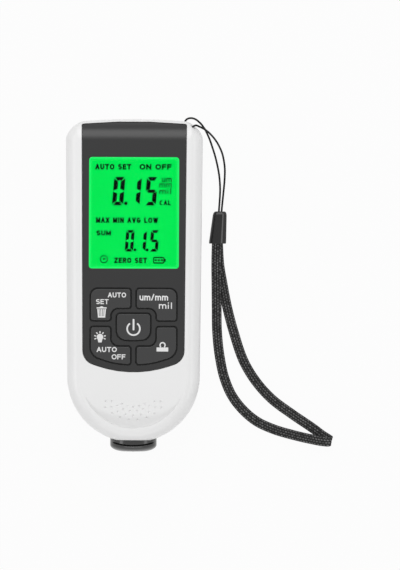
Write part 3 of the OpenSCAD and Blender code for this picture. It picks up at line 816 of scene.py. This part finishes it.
# Letters in a box one high: width, then strokes. Four numbers are a straight stroke from end to end,
# six are an arc: centre, two radii, start and end angle.
LETTERS = {
    "A": (0.86, [(0, 0, 0.5, 1), (0.5, 1, 1, 0), (0.22, 0.32, 0.78, 0.32)]),
    "C": (0.84, [(0.5, 0.5, 0.5, 0.5, 48, 312)]),
    "E": (0.66, [(0, 0, 0, 1), (0, 1, 1, 1), (0, 0.52, 0.9, 0.52), (0, 0, 1, 0)]),
    "F": (0.64, [(0, 0, 0, 1), (0, 1, 1, 1), (0, 0.5, 0.88, 0.5)]),
    "G": (0.9, [(0.5, 0.5, 0.5, 0.5, 45, 350), (1, 0.44, 0.62, 0.44)]),
    "I": (0.02, [(0.5, 0, 0.5, 1)]),
    "L": (0.62, [(0, 1, 0, 0), (0, 0, 1, 0)]),
    "M": (0.96, [(0, 0, 0, 1), (0, 1, 0.5, 0.15), (0.5, 0.15, 1, 1), (1, 1, 1, 0)]),
    "N": (0.8, [(0, 0, 0, 1), (0, 1, 1, 0), (1, 0, 1, 1)]),
    "O": (0.94, [(0.5, 0.5, 0.5, 0.5, 0, 360)]),
    "R": (0.76, [
        (0, 0, 0, 1), (0, 1, 0.6, 1), (0.6, 0.74, 0.4, 0.26, 90, -90), (0.6, 0.48, 0, 0.48),
        (0.55, 0.48, 1, 0),
    ]),
    "S": (0.74, [(0.5, 0.75, 0.5, 0.25, 25, 270), (0.5, 0.25, 0.5, 0.25, 90, -155)]),
    "T": (0.78, [(0, 1, 1, 1), (0.5, 0, 0.5, 1)]),
    "U": (0.78, [(0, 1, 0, 0.4), (0.5, 0.4, 0.5, 0.4, 180, 360), (1, 0.4, 1, 1)]),
    "V": (0.84, [(0, 1, 0.5, 0), (0.5, 0, 1, 1)]),
    "W": (1.2, [(0, 1, 0.25, 0), (0.25, 0, 0.5, 0.9), (0.5, 0.9, 0.75, 0), (0.75, 0, 1, 1)]),
    "X": (0.8, [(0, 0, 1, 1), (0, 1, 1, 0)]),
    "Z": (0.74, [(0, 1, 1, 1), (1, 1, 0, 0), (0, 0, 1, 0)]),
    "i": (0.2, [(0.5, 0, 0.5, 0.6), (0.5, 0.98, 0.5, 1)]),
    "l": (0.2, [(0.5, 0, 0.5, 1)]),
    "m": (1.0, [
        (0, 0, 0, 0.68), (0.25, 0.44, 0.25, 0.24, 180, 0), (0.5, 0, 0.5, 0.44),
        (0.75, 0.44, 0.25, 0.24, 180, 0), (1, 0, 1, 0.44),
    ]),
    "u": (0.56, [(0, 0.7, 0, 0.3), (0.5, 0.3, 0.5, 0.3, 180, 360), (1, 0, 1, 0.7)]),
    "/": (0.4, [(0, 0, 1, 1)]),
    " ": (0.22, []),
}


def ribbon_data(line, weight, z, top):
    line = np.array(line, float)
    ahead = unit(np.gradient(line, axis=0))
    across = np.column_stack((-ahead[:, 1], ahead[:, 0])) * weight / 2
    return loft_data([
        [(*(p - c), z), (*(p + c), z), (*(p + c), top), (*(p - c), top)] for p, c in zip(line, across)
    ])


def letter_line(mark, weight):
    if len(mark) == 4:
        start = np.array(mark[:2])
        end = np.array(mark[2:])
        more = unit(end - start) * weight / 2
        return [start - more, end + more]
    x, y, rx, ry, begin, stop = mark
    turn = np.radians(np.linspace(begin, stop, 25))
    return [(x + rx * math.cos(a), y + ry * math.sin(a)) for a in turn]


def word(name, text, x0, x1, y, height, weight, z, body, slot, material):
    tall = height - weight
    gap = 0.12 * height
    natural = tall * sum(LETTERS[c][0] for c in text)
    wide = (x1 - x0 - len(text) * weight - (len(text) - 1) * gap) / natural
    shapes = []
    x = x0 + weight / 2
    for c in text:
        width, marks = LETTERS[c]
        size = np.array((tall * width * wide, tall))
        for mark in marks:
            scaled = [v * size[k % 2] if k < 4 else v for k, v in enumerate(mark)]
            line = np.array(letter_line(scaled, weight)) + (x, y + weight / 2)
            shapes.append(ribbon_data(line, weight, z, z + INK_T + len(shapes) % 12 * INK_STEP))
        x += size[0] + weight + gap
    piece(merged(name, shapes), body, slot, material)


# The lit segments of the digits that the display shows
SEGMENTS = {"0": "abcdef", "1": "bc", "5": "acdfg"}
DIGIT_W = 4.08
DIGIT_H = 10.36
DIGIT_LEAN = 0.08


def digit(number, x, y, scale=1.0):
    w = DIGIT_W
    h = DIGIT_H
    m = h / 2
    side = 1.56
    parts = {
        "a": [(0.36, h), (w - 0.36, h), (w - 1.2, h - 1.34), (1.2, h - 1.34)],
        "d": [(0.4, 0), (w - 0.4, 0), (w - 1.25, 1.34), (1.25, 1.34)],
        "g": [
            (0.45, m), (1, m + 0.62), (w - 1, m + 0.62),
            (w - 0.45, m), (w - 1, m - 0.62), (1, m - 0.62),
        ],
        "f": [(0, h - 0.5), (side, h - 1.75), (side, m + 0.86), (0, m + 0.14)],
        "e": [(0, 0.42), (side, 1.7), (side, m - 0.86), (0, m - 0.14)],
    }
    parts["b"] = [(w - px, py) for px, py in parts["f"]]
    parts["c"] = [(w - px, py) for px, py in parts["e"]]
    return [
        [(x + scale * (px + DIGIT_LEAN * py), y + scale * py) for px, py in parts[s]]
        for s in SEGMENTS[number]
    ]


def display_signs(material):
    main_y = 29.22
    main = digit("0", -8.06, main_y) + digit("1", -2.06, main_y) + digit("5", 3.84, main_y)
    main.append(circle(-2.98, 29.96, 0.66, 24))
    ink("display_digits", main, INK_Z, "case", "display", material)
    small_y = 12.41
    small_scale = 0.755
    small = digit("0", -3.4, small_y, small_scale)
    small += digit("1", 1.12, small_y, small_scale)
    small += digit("5", 5.63, small_y, small_scale)
    small += [circle(0.4, 13.02, 0.52, 20), circle(4.83, 13, 0.52, 20)]
    ink("display_small_digits", small, INK_Z, "case", "display", material)
    rows = [
        ("auto", "AUTO SET", -14.2, -1.1, 42.25, 2.05, 0.54),
        ("on", "ON OFF", 1.95, 13.6, 42.25, 2.05, 0.54),
        ("um", "um", 10.05, 13.7, 37.7, 2.15, 0.37),
        ("mm", "mm", 9.15, 13.7, 35.75, 2.15, 0.37),
        ("mil", "mil", 9.15, 13.7, 33.4, 2.05, 0.37),
        ("cal", "CAL", 9.25, 13.4, 29.3, 1.8, 0.45),
        ("max", "MAX MIN AVG LOW", -13.84, 8.78, 22.8, 2.05, 0.52),
        ("sum", "SUM", -13.7, -8.35, 18.2, 1.85, 0.5),
        ("zero", "ZERO SET", -7.14, 4.78, 8.2, 2, 0.52),
    ]
    for name, text, x0, x1, y, height, weight in rows:
        word("display_" + name, text, x0, x1, y, height, weight, INK_Z, "case", "display", material)
    clock = [
        band(-10.9, 9.6, 1.12, 1.47, 0, 180),
        band(-10.9, 9.6, 1.12, 1.47, 180, 360),
        [(-11.2, 10.2), (-10.1, 9.7), (-11.2, 9.2)],
    ]
    ink("display_clock", clock, INK_Z, "case", "display", material)
    left = 7.05
    right = 11.1
    gauge = [
        bar(left + 0.3, 8.05, right - 0.3, 8.53),
        bar(left + 0.3, 10.02, right - 0.3, 10.5),
        bar(left - 0.05, 8.5, left + 0.38, 10.05),
        bar(right - 0.38, 8.5, right + 0.05, 10.05),
        bar(right, 8.75, right + 0.5, 9.8),
    ]
    for x, turns in ((left + 0.35, (180, 90)), (right - 0.35, (270, 0))):
        for y, turn in zip((8.5, 10.05), turns):
            gauge.append(band(x, y, 0.05, 0.35, turn, turn + 90, 8))
    gauge += [circle(left + 0.93 + 1.1 * k, 9.28, 0.4, 20) for k in range(3)]
    ink("display_battery", gauge, INK_Z, "case", "display", material)


def key_signs(material):
    z = KEY_TOP + 0.005
    words = [
        ("mode", "AUTO", -9.4, -2.75, -4.35, 1.8, 0.36),
        ("mode", "SET", -13.7, -9.1, -6.8, 1.8, 0.34),
        ("units", "um/mm", 2.15, 12.55, -5.4, 2.35, 0.42),
        ("units", "mil", 9.2, 14.2, -8.4, 2.3, 0.38),
        ("light", "AUTO", -13.4, -6.05, -24.25, 1.85, 0.38),
        ("light", "OFF", -7.95, -2.9, -26.9, 1.85, 0.36),
    ]
    for body, text, x0, x1, y, height, weight in words:
        name = "sign_" + body + "_" + text.lower().replace("/", "_")
        word(name, text, x0, x1, y, height, weight, z, body + "_key", "key_grey", material)
    power = [
        band(0, -15.73, 2.02, 2.6, 124, 416, 60),
        bar(-0.33, -16, 0.33, -12.45),
        circle(0, -16, 0.33, 20),
        circle(0, -12.45, 0.33, 20),
    ]
    bin_x = -11.65
    bin_sign = [
        bar(bin_x - 1.82, -8.4, bin_x + 1.82, -7.95),
        [(bin_x - 0.75, -7.95), (bin_x + 0.75, -7.95), (bin_x + 0.3, -7.6), (bin_x - 0.3, -7.6)],
        bar(bin_x - 1.35, -11.7, bin_x + 1.35, -11.2),
    ]
    bin_taper = 0.84
    for inner, outer in ((-0.22, 0.22), (0.42, 0.82), (1.02, 1.6), (-0.82, -0.42), (-1.6, -1.02)):
        bin_sign.append([
            (bin_x + inner * bin_taper, -11.2), (bin_x + outer * bin_taper, -11.2),
            (bin_x + outer, -8.6), (bin_x + inner, -8.6),
        ])
    bulb_at = np.array((-12.2, -18.8))
    x, y = bulb_at
    bulb = [
        circle(x, y, 1.18, 36),
        [(x - 0.85, y - 0.85), (x - 0.6, y - 1.95), (x + 0.6, y - 1.95), (x + 0.85, y - 0.85)],
    ]
    for a in np.radians((-20, 14, 54, 90, 128, 166, 200)):
        spoke = np.array((math.cos(a), math.sin(a)))
        bulb.append(stroke(*(bulb_at + 1.42 * spoke), *(bulb_at + 2.15 * spoke), 0.4))
    zero = [bar(8.42, -23.97, 12.67, -22.5), band(10.6, -21.66, 0.68, 1.14, -50, 230, 48)]
    signs = [
        ("power", "power", power),
        ("bin", "mode", bin_sign),
        ("bulb", "light", bulb),
        ("zero", "zero", zero),
    ]
    for name, body, shapes in signs:
        ink("sign_" + name, shapes, z, body + "_key", "key_grey", material)


# Probe

def nose_groove():
    reach = math.asin((PROBE_R - 1) / GROOVE_R)
    grooves = []
    for side in (-1, 1):
        rings = []
        for a in np.linspace(-reach, reach, 97):
            half = GROOVE_W / 2 * min(1, 0.3 + 6 * (1 - abs(a) / reach))
            ring = []
            for off, rise in ((-1.5 * half, GROOVE_D / 2), (1.5 * half, GROOVE_D / 2), (0, -GROOVE_D)):
                x = (GROOVE_R + off) * math.sin(a)
                y = END_Y - (GROOVE_R + off) * math.cos(a)
                out = (PROBE_R + rise) / PROBE_R
                ring.append((x * out, y, SPLIT_Z + side * out * math.sqrt(PROBE_R ** 2 - x ** 2)))
            rings.append(ring)
        grooves.append(loft_data(rings))
    return merged("nose_groove", grooves)


def probe_pieces(black, bright):
    collar = lathe("probe_bush", [
        (STEM_R + FIT, HUB_Y),
        (HUB_R, HUB_Y),
        (HUB_R, SEAT_Y),
        (FLANGE_R, SEAT_Y),
        (FLANGE_R, SEAT_Y + FLANGE_L),
        (STEM_R + FIT, SEAT_Y + FLANGE_L),
    ])
    piece(collar, "case", "gloss_black", black, "probe_collar")
    nose = [
        (NOSE_R + (PROBE_R - NOSE_R) * math.sin(a), NOSE_Y + NOSE_L * (1 - math.cos(a)))
        for a in quarter_turn(30)
    ]
    clip_y = SEAT_Y + FLANGE_L + 0.05
    head = lathe("probe_nose", [(CORE_R + FIT, NOSE_Y)] + nose + [
        (PROBE_R, HEAD_Y),
        (SKIRT_R, HEAD_Y),
        (SKIRT_R, POCKET_Y),
        (STEM_R, POCKET_Y),
        (STEM_R, clip_y),
        (STEM_GROOVE_R, clip_y),
        (STEM_GROOVE_R, clip_y + STEM_GROOVE_L),
        (STEM_R, clip_y + STEM_GROOVE_L),
        (STEM_R, CAP_Y),
        (STEM_BORE_R, CAP_Y),
        (STEM_BORE_R, NOSE_FLOOR_Y),
        (CORE_R + FIT, NOSE_FLOOR_Y),
    ], 192)
    cut(head, nose_groove())
    piece(head, "probe", "gloss_black", black, "probe_head")
    tip = [
        (CORE_R * math.sin(a), Y_TIP + CORE_R * (1 - math.cos(a)))
        for a in quarter_turn(14)
    ]
    core = lathe("sensor_tip", tip + [(CORE_R, CAP_Y - 2), (0, CAP_Y - 2)], 64)
    piece(core, "probe", "steel", bright, "sensor_core")


# Cells

def cell(name, x, y0, facing, material, node):
    half = CELL_D / 2
    shape = [
        (0, 0), (half - 1.6, 0), (half - 1.5, 0.12), (half - 0.5, 0.12), (half - 0.2, 0),
        (half - 0.05, 0.15), (half, 0.4), (half, 43), (half - 0.05, 43.2), (half - 0.3, 43.4),
        (half - 0.6, 43.35), (half - 0.7, 43.5), (1.95, 43.5), (1.85, 43.6), (1.85, 44.35),
        (1.7, 44.5), (0, 44.5),
    ]
    if facing < 0:
        shape = [(r, CELL_L - y) for r, y in reversed(shape)]
    body = lathe(name, [(r, y0 + y) for r, y in shape], 64, x, CELL_Z)
    piece(body, "case", "cell_jacket", material, node)


# Wrist strap

def thin_cord(material):
    line, _, where = spline(CORD_ROUTE, 0.28)
    side, up = frames_along(line)
    turn = full_turn(14)
    rings = []
    for p, s, u, v in zip(line, side, up, where):
        twist = 2 * math.pi * v / CORD_TWIST
        radius = CORD_D / 2 * (0.93 + 0.07 * np.cos(3 * (turn - twist)))
        rings.append([p + r * (math.cos(a) * s + math.sin(a) * u) for a, r in zip(turn, radius)])
    cord = loft("thin_cord", rings, 60)
    piece(cord, "case", "braid", material, "cord_loop")
    return cord, line


def strap_sides():
    route = np.array(STRAP_ROUTE, float)
    last = len(route) - 1
    sides = []
    for i in range(len(route)):
        along = route[min(i + 1, last), :2] - route[max(i - 1, 0), :2]
        side = unit(left_of(along)) * (1 if i < STRAP_FOLD else -1)
        sides.append((side[0], side[1], 0))
    sides = np.array(sides)
    sides[STRAP_FOLD] = unit(sides[STRAP_FOLD - 1] + sides[STRAP_FOLD + 1])
    return sides


def strap_section(count):
    turn = np.linspace(0, 2 * math.pi, 721)
    x = STRAP_W / 2 * np.sign(np.cos(turn)) * np.abs(np.cos(turn)) ** 0.45
    y = (STRAP_T / 2 - 0.05) * np.sign(np.sin(turn)) * np.abs(np.sin(turn)) ** 0.7
    run = np.concatenate(([0], np.cumsum(np.hypot(np.diff(x), np.diff(y)))))
    where = np.linspace(0, run[-1], count, endpoint=False)
    return np.column_stack((np.interp(where, run, x), np.interp(where, run, y)))


def braid(u, v):
    columns = 4
    pitch = 1.05
    column = np.clip((u * 0.5 + 0.5) * columns, 0, columns - 0.001)
    number = np.floor(column)
    across = column - number
    lean = np.where(number % 2 == 0, 0.3, -0.3)
    along = (v / pitch + lean * (across - 0.5) + 0.5 * (number % 2)) % 1
    return np.sin(math.pi * across) ** 1.6 * np.sin(math.pi * along) ** 0.9


def wrist_strap(material):
    line, place, where = spline(STRAP_ROUTE, 0.2)
    sides = strap_sides()
    spots = np.arange(len(sides))
    side = unit(np.column_stack([np.interp(place, spots, sides[:, k]) for k in range(3)]))
    ahead = unit(np.gradient(line, axis=0))
    side = unit(side - ahead * np.sum(side * ahead, axis=1, keepdims=True))
    up = np.cross(ahead, side)
    section = strap_section(60)
    out = unit(np.roll(section, -1, 0) - np.roll(section, 1, 0))
    out = np.column_stack((out[:, 1], -out[:, 0]))
    rings = []
    stitch = []
    for p, s, w, v in zip(line, side, up, where):
        raised = braid(section[:, 0] / STRAP_W * 2, v)
        flat = section + out * ((raised - 0.45) * STRAP_RELIEF)[:, None]
        rings.append([p + s * x + w * y for x, y in flat])
        stitch.extend(raised)
    strap = loft("wrist_strap_band", rings, 80)
    # The stitch heights go to the material, which paints a highlight on the raised stitches
    tone = strap.data.attributes.new("stitch", "FLOAT", "POINT")
    tone.data.foreach_set("value", np.array(stitch, np.float32))
    piece(strap, "case", "braid", material, "wrist_strap")
    return strap, line[::5]


def crimp(material):
    stops = [
        (0, 0.93), (0.006, 0.97), (0.02, 0.99), (0.05, 1), (0.3, 1), (0.6, 1), (0.85, 1), (0.9, 0.985),
        (0.94, 0.95), (0.97, 0.89), (0.99, 0.8), (1, 0.7),
    ]
    rings = []
    for s, swell in stops:
        x, y = CLIP_LOW + (CLIP_HIGH - CLIP_LOW) * s
        w = (CLIP_W - CLIP_W_TAPER * s) * swell
        t = (CLIP_T - CLIP_T_TAPER * s) * (0.5 + 0.5 * swell)
        low = 0.05 + 2 * (1 - swell)
        shape = [
            (w / 2, t * 0.62, 0.5), (w * 0.28, t - 0.054 * w, 0.1), (w * 0.19, t, 0.1),
            (-w * 0.36, t * 0.94, 0.9), (-w / 2, t * 0.62, 0.7), (-w / 2, low, 0.6), (w / 2, low, 0.6),
        ]
        rings.append([(x + px, y, pz) for px, pz in rounded(shape, count=9)])
    clip = loft("crimp", rings, 40)
    return piece(clip, "case", "gloss_black", material, "strap_clip")


# Materials

def base_material(name):
    material = bpy.data.materials.new(name)
    material.use_nodes = True
    return material, material.node_tree, material.node_tree.nodes["Principled BSDF"]


def put(node, values):
    for name, value in values.items():
        node.inputs[name].default_value = value


def noise(tree, scale, detail=3.0, stretch=None):
    place = tree.nodes.new("ShaderNodeTexCoord").outputs["Object"]
    if stretch:
        fit = tree.nodes.new("ShaderNodeMapping")
        put(fit, {"Scale": stretch})
        tree.links.new(place, fit.inputs["Vector"])
        place = fit.outputs["Vector"]
    clouds = tree.nodes.new("ShaderNodeTexNoise")
    put(clouds, {"Scale": scale, "Detail": detail})
    tree.links.new(place, clouds.inputs["Vector"])
    return clouds.outputs["Fac"]


def ramp(tree, source, stops):
    node = tree.nodes.new("ShaderNodeValToRGB")
    band_stops = node.color_ramp.elements
    while len(band_stops) < len(stops):
        band_stops.new(0.5)
    for stop, (place, colour) in zip(band_stops, stops):
        stop.position = place
        stop.color = (*colour, 1)
    tree.links.new(source, node.inputs["Fac"])
    return node.outputs["Color"]


def patchy(tree, clouds, dark, light):
    return ramp(tree, clouds, [(0.3, dark), (0.7, light)])


def spread(tree, source, low, high, start=0.0, end=1.0):
    node = tree.nodes.new("ShaderNodeMapRange")
    put(node, {"From Min": start, "From Max": end, "To Min": low, "To Max": high})
    tree.links.new(source, node.inputs["Value"])
    return node.outputs["Result"]


def maths(tree, operation, *terms):
    node = tree.nodes.new("ShaderNodeMath")
    node.operation = operation
    for socket, term in zip(node.inputs, terms):
        if isinstance(term, bpy.types.NodeSocket):
            tree.links.new(term, socket)
        else:
            socket.default_value = term
    return node.outputs["Value"]


def place_axes(tree):
    place = tree.nodes.new("ShaderNodeTexCoord")
    split = tree.nodes.new("ShaderNodeSeparateXYZ")
    tree.links.new(place.outputs["Object"], split.inputs["Vector"])
    return split.outputs


def bump(tree, shader, source, strength, distance, edge=0.0):
    node = tree.nodes.new("ShaderNodeBump")
    put(node, {"Strength": strength, "Distance": distance})
    tree.links.new(source, node.inputs["Height"])
    if edge:
        soft = tree.nodes.new("ShaderNodeBevel")
        soft.samples = 6
        put(soft, {"Radius": edge * MM})
        tree.links.new(soft.outputs["Normal"], node.inputs["Normal"])
    tree.links.new(node.outputs["Normal"], shader.inputs["Normal"])


def surface(tree, shader, shades, fine, gloss):
    tree.links.new(shades, shader.inputs["Base Color"])
    tree.links.new(spread(tree, fine, *gloss), shader.inputs["Roughness"])


def moulded(name, light, dark, gloss, grain, depth, specular=0.5, edge=0.0):
    material, tree, shader = base_material(name)
    fine = noise(tree, grain, 4)
    surface(tree, shader, patchy(tree, noise(tree, 45), dark, light), fine, gloss)
    put(shader, {"Specular IOR Level": specular})
    bump(tree, shader, fine, 0.35, depth * MM, edge)
    return material


def metal(name, light, dark, gloss, stretch=None):
    material, tree, shader = base_material(name)
    fine = noise(tree, 900, 5, stretch)
    surface(tree, shader, patchy(tree, fine, dark, light), fine, gloss)
    put(shader, {"Metallic": 1})
    bump(tree, shader, fine, 0.2, 0.01 * MM)
    return material


def clear_window():
    material, tree, shader = base_material("clear_window")
    fine = noise(tree, 700, 2)
    surface(tree, shader, patchy(tree, fine, (0.97, 0.98, 0.97), (1, 1, 1)), fine, (0, 0.008))
    put(shader, {"Transmission Weight": 1, "IOR": 1.1, "Specular IOR Level": 0.25})
    return material


def lit_display():
    material, tree, shader = base_material("lit_display")
    axes = place_axes(tree)
    insets = []
    for axis, centre, half in (("X", 0, WINDOW_W / 2), ("Y", WINDOW_Y, WINDOW_H / 2)):
        off = maths(tree, "ABSOLUTE", maths(tree, "SUBTRACT", axes[axis], centre * MM))
        insets.append(maths(tree, "SUBTRACT", half * MM, off))
    edge = spread(tree, maths(tree, "MINIMUM", *insets), 0, 1, 0.1 * MM, 1.2 * MM)
    glow = ramp(tree, edge, [(0, (0.02, 0.96, 0.17)), (1, (0.0, 0.79, 0.083))])
    put(shader, {"Base Color": (0.0, 0.02, 0.003, 1), "Specular IOR Level": 0, "Emission Strength": 1})
    tree.links.new(glow, shader.inputs["Emission Color"])
    return material


def braided():
    material, tree, shader = base_material("braided_cord")
    tone = tree.nodes.new("ShaderNodeAttribute")
    tone.attribute_name = "stitch"
    # Painted highlight: the raised stitches are painted lighter as glints, brighter in random patches
    # along the strap
    painted_glint = maths(tree, "MULTIPLY", tone.outputs["Fac"], spread(tree, noise(tree, 900, 2), -0.4, 2))
    stops = [(0.0, (0.009, 0.009, 0.009)), (0.3, (0.034, 0.034, 0.034)), (1.0, (0.2, 0.2, 0.2))]
    fibre = noise(tree, 5000, 3)
    surface(tree, shader, ramp(tree, painted_glint, stops), fibre, (0.55, 0.8))
    put(shader, {"Specular IOR Level": 0.12})
    bump(tree, shader, fibre, 0.5, 0.03 * MM)
    return material


def thread():
    material, tree, shader = base_material("thin_thread")
    fibre = noise(tree, 3500, 3)
    shades = patchy(tree, fibre, (0.004, 0.004, 0.004), (0.016, 0.016, 0.017))
    surface(tree, shader, shades, fibre, (0.5, 0.75))
    put(shader, {"Specular IOR Level": 0.15})
    bump(tree, shader, fibre, 0.4, 0.02 * MM)
    return material


def cell_jacket():
    material, tree, shader = base_material("cell_jacket")
    along = spread(tree, place_axes(tree)["Y"], 0, 1, BAY_Y0 * MM, BAY_Y1 * MM)
    tin = (0.55, 0.55, 0.56)
    wrap = (0.02, 0.022, 0.03)
    stops = [(0.0, tin), (0.055, wrap), (0.3, (0.03, 0.033, 0.045)), (0.7, wrap), (0.945, tin)]
    surface(tree, shader, ramp(tree, along, stops), noise(tree, 1200, 3), (0.22, 0.34))
    put(shader, {"Metallic": 0.5})
    return material


# Stage

def seen_rays(tree):
    path = tree.nodes.new("ShaderNodeLightPath").outputs
    either = maths(tree, "MAXIMUM", path["Is Camera Ray"], path["Is Glossy Ray"])
    return maths(tree, "MAXIMUM", either, path["Is Transmission Ray"])


def mix(tree, factor, first, second, output):
    node = tree.nodes.new("ShaderNodeMixShader")
    for socket, source in zip(node.inputs, (factor, first, second)):
        tree.links.new(source, socket)
    tree.links.new(node.outputs["Shader"], tree.nodes[output].inputs["Surface"])


def floor_material():
    material, tree, shader = base_material("floor")
    shades = patchy(tree, noise(tree, 6, 2), (0.53, 0.53, 0.53), (0.55, 0.55, 0.55))
    tree.links.new(shades, shader.inputs["Base Color"])
    put(shader, {"Roughness": 0.9, "Specular IOR Level": 0})
    glow = tree.nodes.new("ShaderNodeEmission")
    share = maths(tree, "MULTIPLY", seen_rays(tree), 0.95)
    mix(tree, share, shader.outputs["BSDF"], glow.outputs["Emission"], "Material Output")
    return material


def lamp(name, place, aim, size, power):
    data = bpy.data.lights.new(name, "AREA")
    data.shape = "RECTANGLE"
    data.size = size[0]
    data.size_y = size[1]
    data.energy = power
    obj = add(name, data)
    obj.location = place
    obj.rotation_euler = (Vector(aim) - Vector(place)).to_track_quat("-Z", "Y").to_euler()
    obj.visible_camera = False


def world_light(strength):
    world = bpy.data.worlds.new("studio")
    world.use_nodes = True
    scene.world = world
    tree = world.node_tree
    soft = tree.nodes["Background"]
    white = tree.nodes.new("ShaderNodeBackground")
    for node, power in ((soft, strength), (white, 1)):
        put(node, {"Color": (1, 1, 1, 1), "Strength": power})
    mix(tree, seen_rays(tree), soft.outputs["Background"], white.outputs["Background"], "World Output")


# Camera: straight down on the face, far away, with the picture's scale at SCALE_HEIGHT above the floor
PICTURE_H = 570
PICTURE_SCALE = 2.74
PICTURE_CENTRE = (24.15, 0.3)
PICTURE_TURN = 0.22
CAMERA_HEIGHT = 3000
SCALE_HEIGHT = 20
SENSOR = 36


def camera():
    data = bpy.data.cameras.new("camera")
    data.sensor_width = SENSOR
    data.lens = SENSOR * (CAMERA_HEIGHT - SCALE_HEIGHT) / (PICTURE_H / PICTURE_SCALE)
    data.clip_start = 0.1
    data.clip_end = 20
    obj = add("camera", data)
    obj.location = (PICTURE_CENTRE[0] * MM, PICTURE_CENTRE[1] * MM, CAMERA_HEIGHT * MM)
    obj.rotation_euler = (0, 0, math.radians(PICTURE_TURN))
    scene.camera = obj


camera()

# Cords
braid_material = braided()
thread_material = thread()
black_plastic = moulded(
    "black_plastic", (0.009, 0.009, 0.0095), (0.006, 0.006, 0.0065), (0.2, 0.3), 2500, 0.01, 0.3,
)
clip_gloss = moulded(
    "clip_gloss", (0.005, 0.005, 0.0053), (0.004, 0.004, 0.0042), (0.1, 0.16), 2200, 0.004, 0.4,
)
clip = crimp(clip_gloss)
cord, cord_line = thin_cord(thread_material)
strap, strap_line = wrist_strap(braid_material)

# Case, face and keys
white = moulded(
    "white_case", (0.85, 0.85, 0.85), (0.835, 0.835, 0.835), (0.3, 0.36), 2600, 0.012, 0.5, 0.3,
)
dark = moulded(
    "dark_panel", (0.0084, 0.0084, 0.0087), (0.0066, 0.0066, 0.0069), (0.3, 0.36), 3200, 0.012, 0.5, 0.12,
)
grey = moulded(
    "key_grey", (0.034, 0.034, 0.0345), (0.031, 0.031, 0.0315), (0.26, 0.34), 3200, 0.012, 0.4,
)
gloss = moulded("gloss_black", (0.03, 0.03, 0.03), (0.024, 0.024, 0.024), (0.16, 0.24), 2200, 0.008)
steel = metal("steel", (0.62, 0.62, 0.63), (0.5, 0.5, 0.51), (0.2, 0.32))
print_white = moulded("print_white", (0.8, 0.8, 0.8), (0.76, 0.76, 0.76), (0.5, 0.6), 3000, 0.004, 0.3)
segment_ink = moulded(
    "segment_ink", (0.001, 0.004, 0.002), (0.0007, 0.003, 0.0015), (0.5, 0.6), 3000, 0.002, 0.02,
)
front_case(white)
back_case(white)
battery_cover(white)
face_panel(dark)
window_lens(clear_window())
for key_name, key_corners in KEYS.items():
    key(key_name, key_corners, grey)
key_signs(print_white)
display_signs(segment_ink)
probe_pieces(gloss, steel)
jacket = cell_jacket()
cell("cell_left", -CELL_X, BAY_Y1 - CELL_L - 0.9, 1, jacket, "battery_left")
cell("cell_right", CELL_X, BAY_Y0 + 0.9, -1, jacket, "battery_right")

# Solids that keep their shape and get a material
guide = moulded("light_guide", (0.75, 0.82, 0.76), (0.7, 0.78, 0.71), (0.3, 0.4), 2000, 0.006)
pale = moulded("frame_plastic", (0.7, 0.7, 0.68), (0.66, 0.66, 0.64), (0.45, 0.55), 2500, 0.012)
rubber = moulded("elastomer", (0.16, 0.12, 0.13), (0.11, 0.09, 0.1), (0.6, 0.75), 2500, 0.015)
board = moulded("board", (0.012, 0.12, 0.045), (0.009, 0.09, 0.035), (0.3, 0.45), 1500, 0.01)
copper = metal("copper", (0.6, 0.28, 0.13), (0.48, 0.2, 0.09), (0.25, 0.4), (1, 12, 1))
dressed = {
    "display_glass": lit_display(),
    "backlight": guide,
    "display_frame": pale,
    "zebra_strip": rubber,
    "circuit_board": board,
    "coil_bobbin": pale,
    "sensor_coil": copper,
}
black_nodes = ["main_chip", "switch_housings", "probe_cap"] + ["plunger_" + name for name in KEYS]
steel_nodes = ["retaining_clip", "probe_spring", "battery_springs", "battery_contacts"]
steel_nodes += ["case_screws", "board_screws"]
dressed.update(dict.fromkeys(black_nodes, black_plastic))
dressed.update(dict.fromkeys(steel_nodes, steel))
for node_name, node_material in dressed.items():
    nodes[node_name].data.materials.clear()
    nodes[node_name].data.materials.append(node_material)

# Floor and light
FLOOR_HALF = 900
floor_corners = bar(-FLOOR_HALF, -FLOOR_HALF, FLOOR_HALF, FLOOR_HALF)
floor = make("floor", level(floor_corners, 0), [(0, 1, 2, 3)])
floor.data.materials.append(floor_material())
world_light(0.485)
lamp("top_lamp", (0, 0.54, 0.59), (0, 0, 0.02), (0.54, 0.57), 2.3)
lamp("left_lamp", (-0.75, 0.05, 0.42), (0, 0, 0.02), (0.9, 0.22), 1.85)
lamp("right_lamp", (0.8, 0.05, 0.42), (0, 0, 0.02), (0.9, 0.22), 1.65)
lamp("front_lamp", (0, -0.76, 0.24), (0, -0.05, 0.02), (1, 0.2), 1.7)
scene.view_settings.view_transform = "Standard"
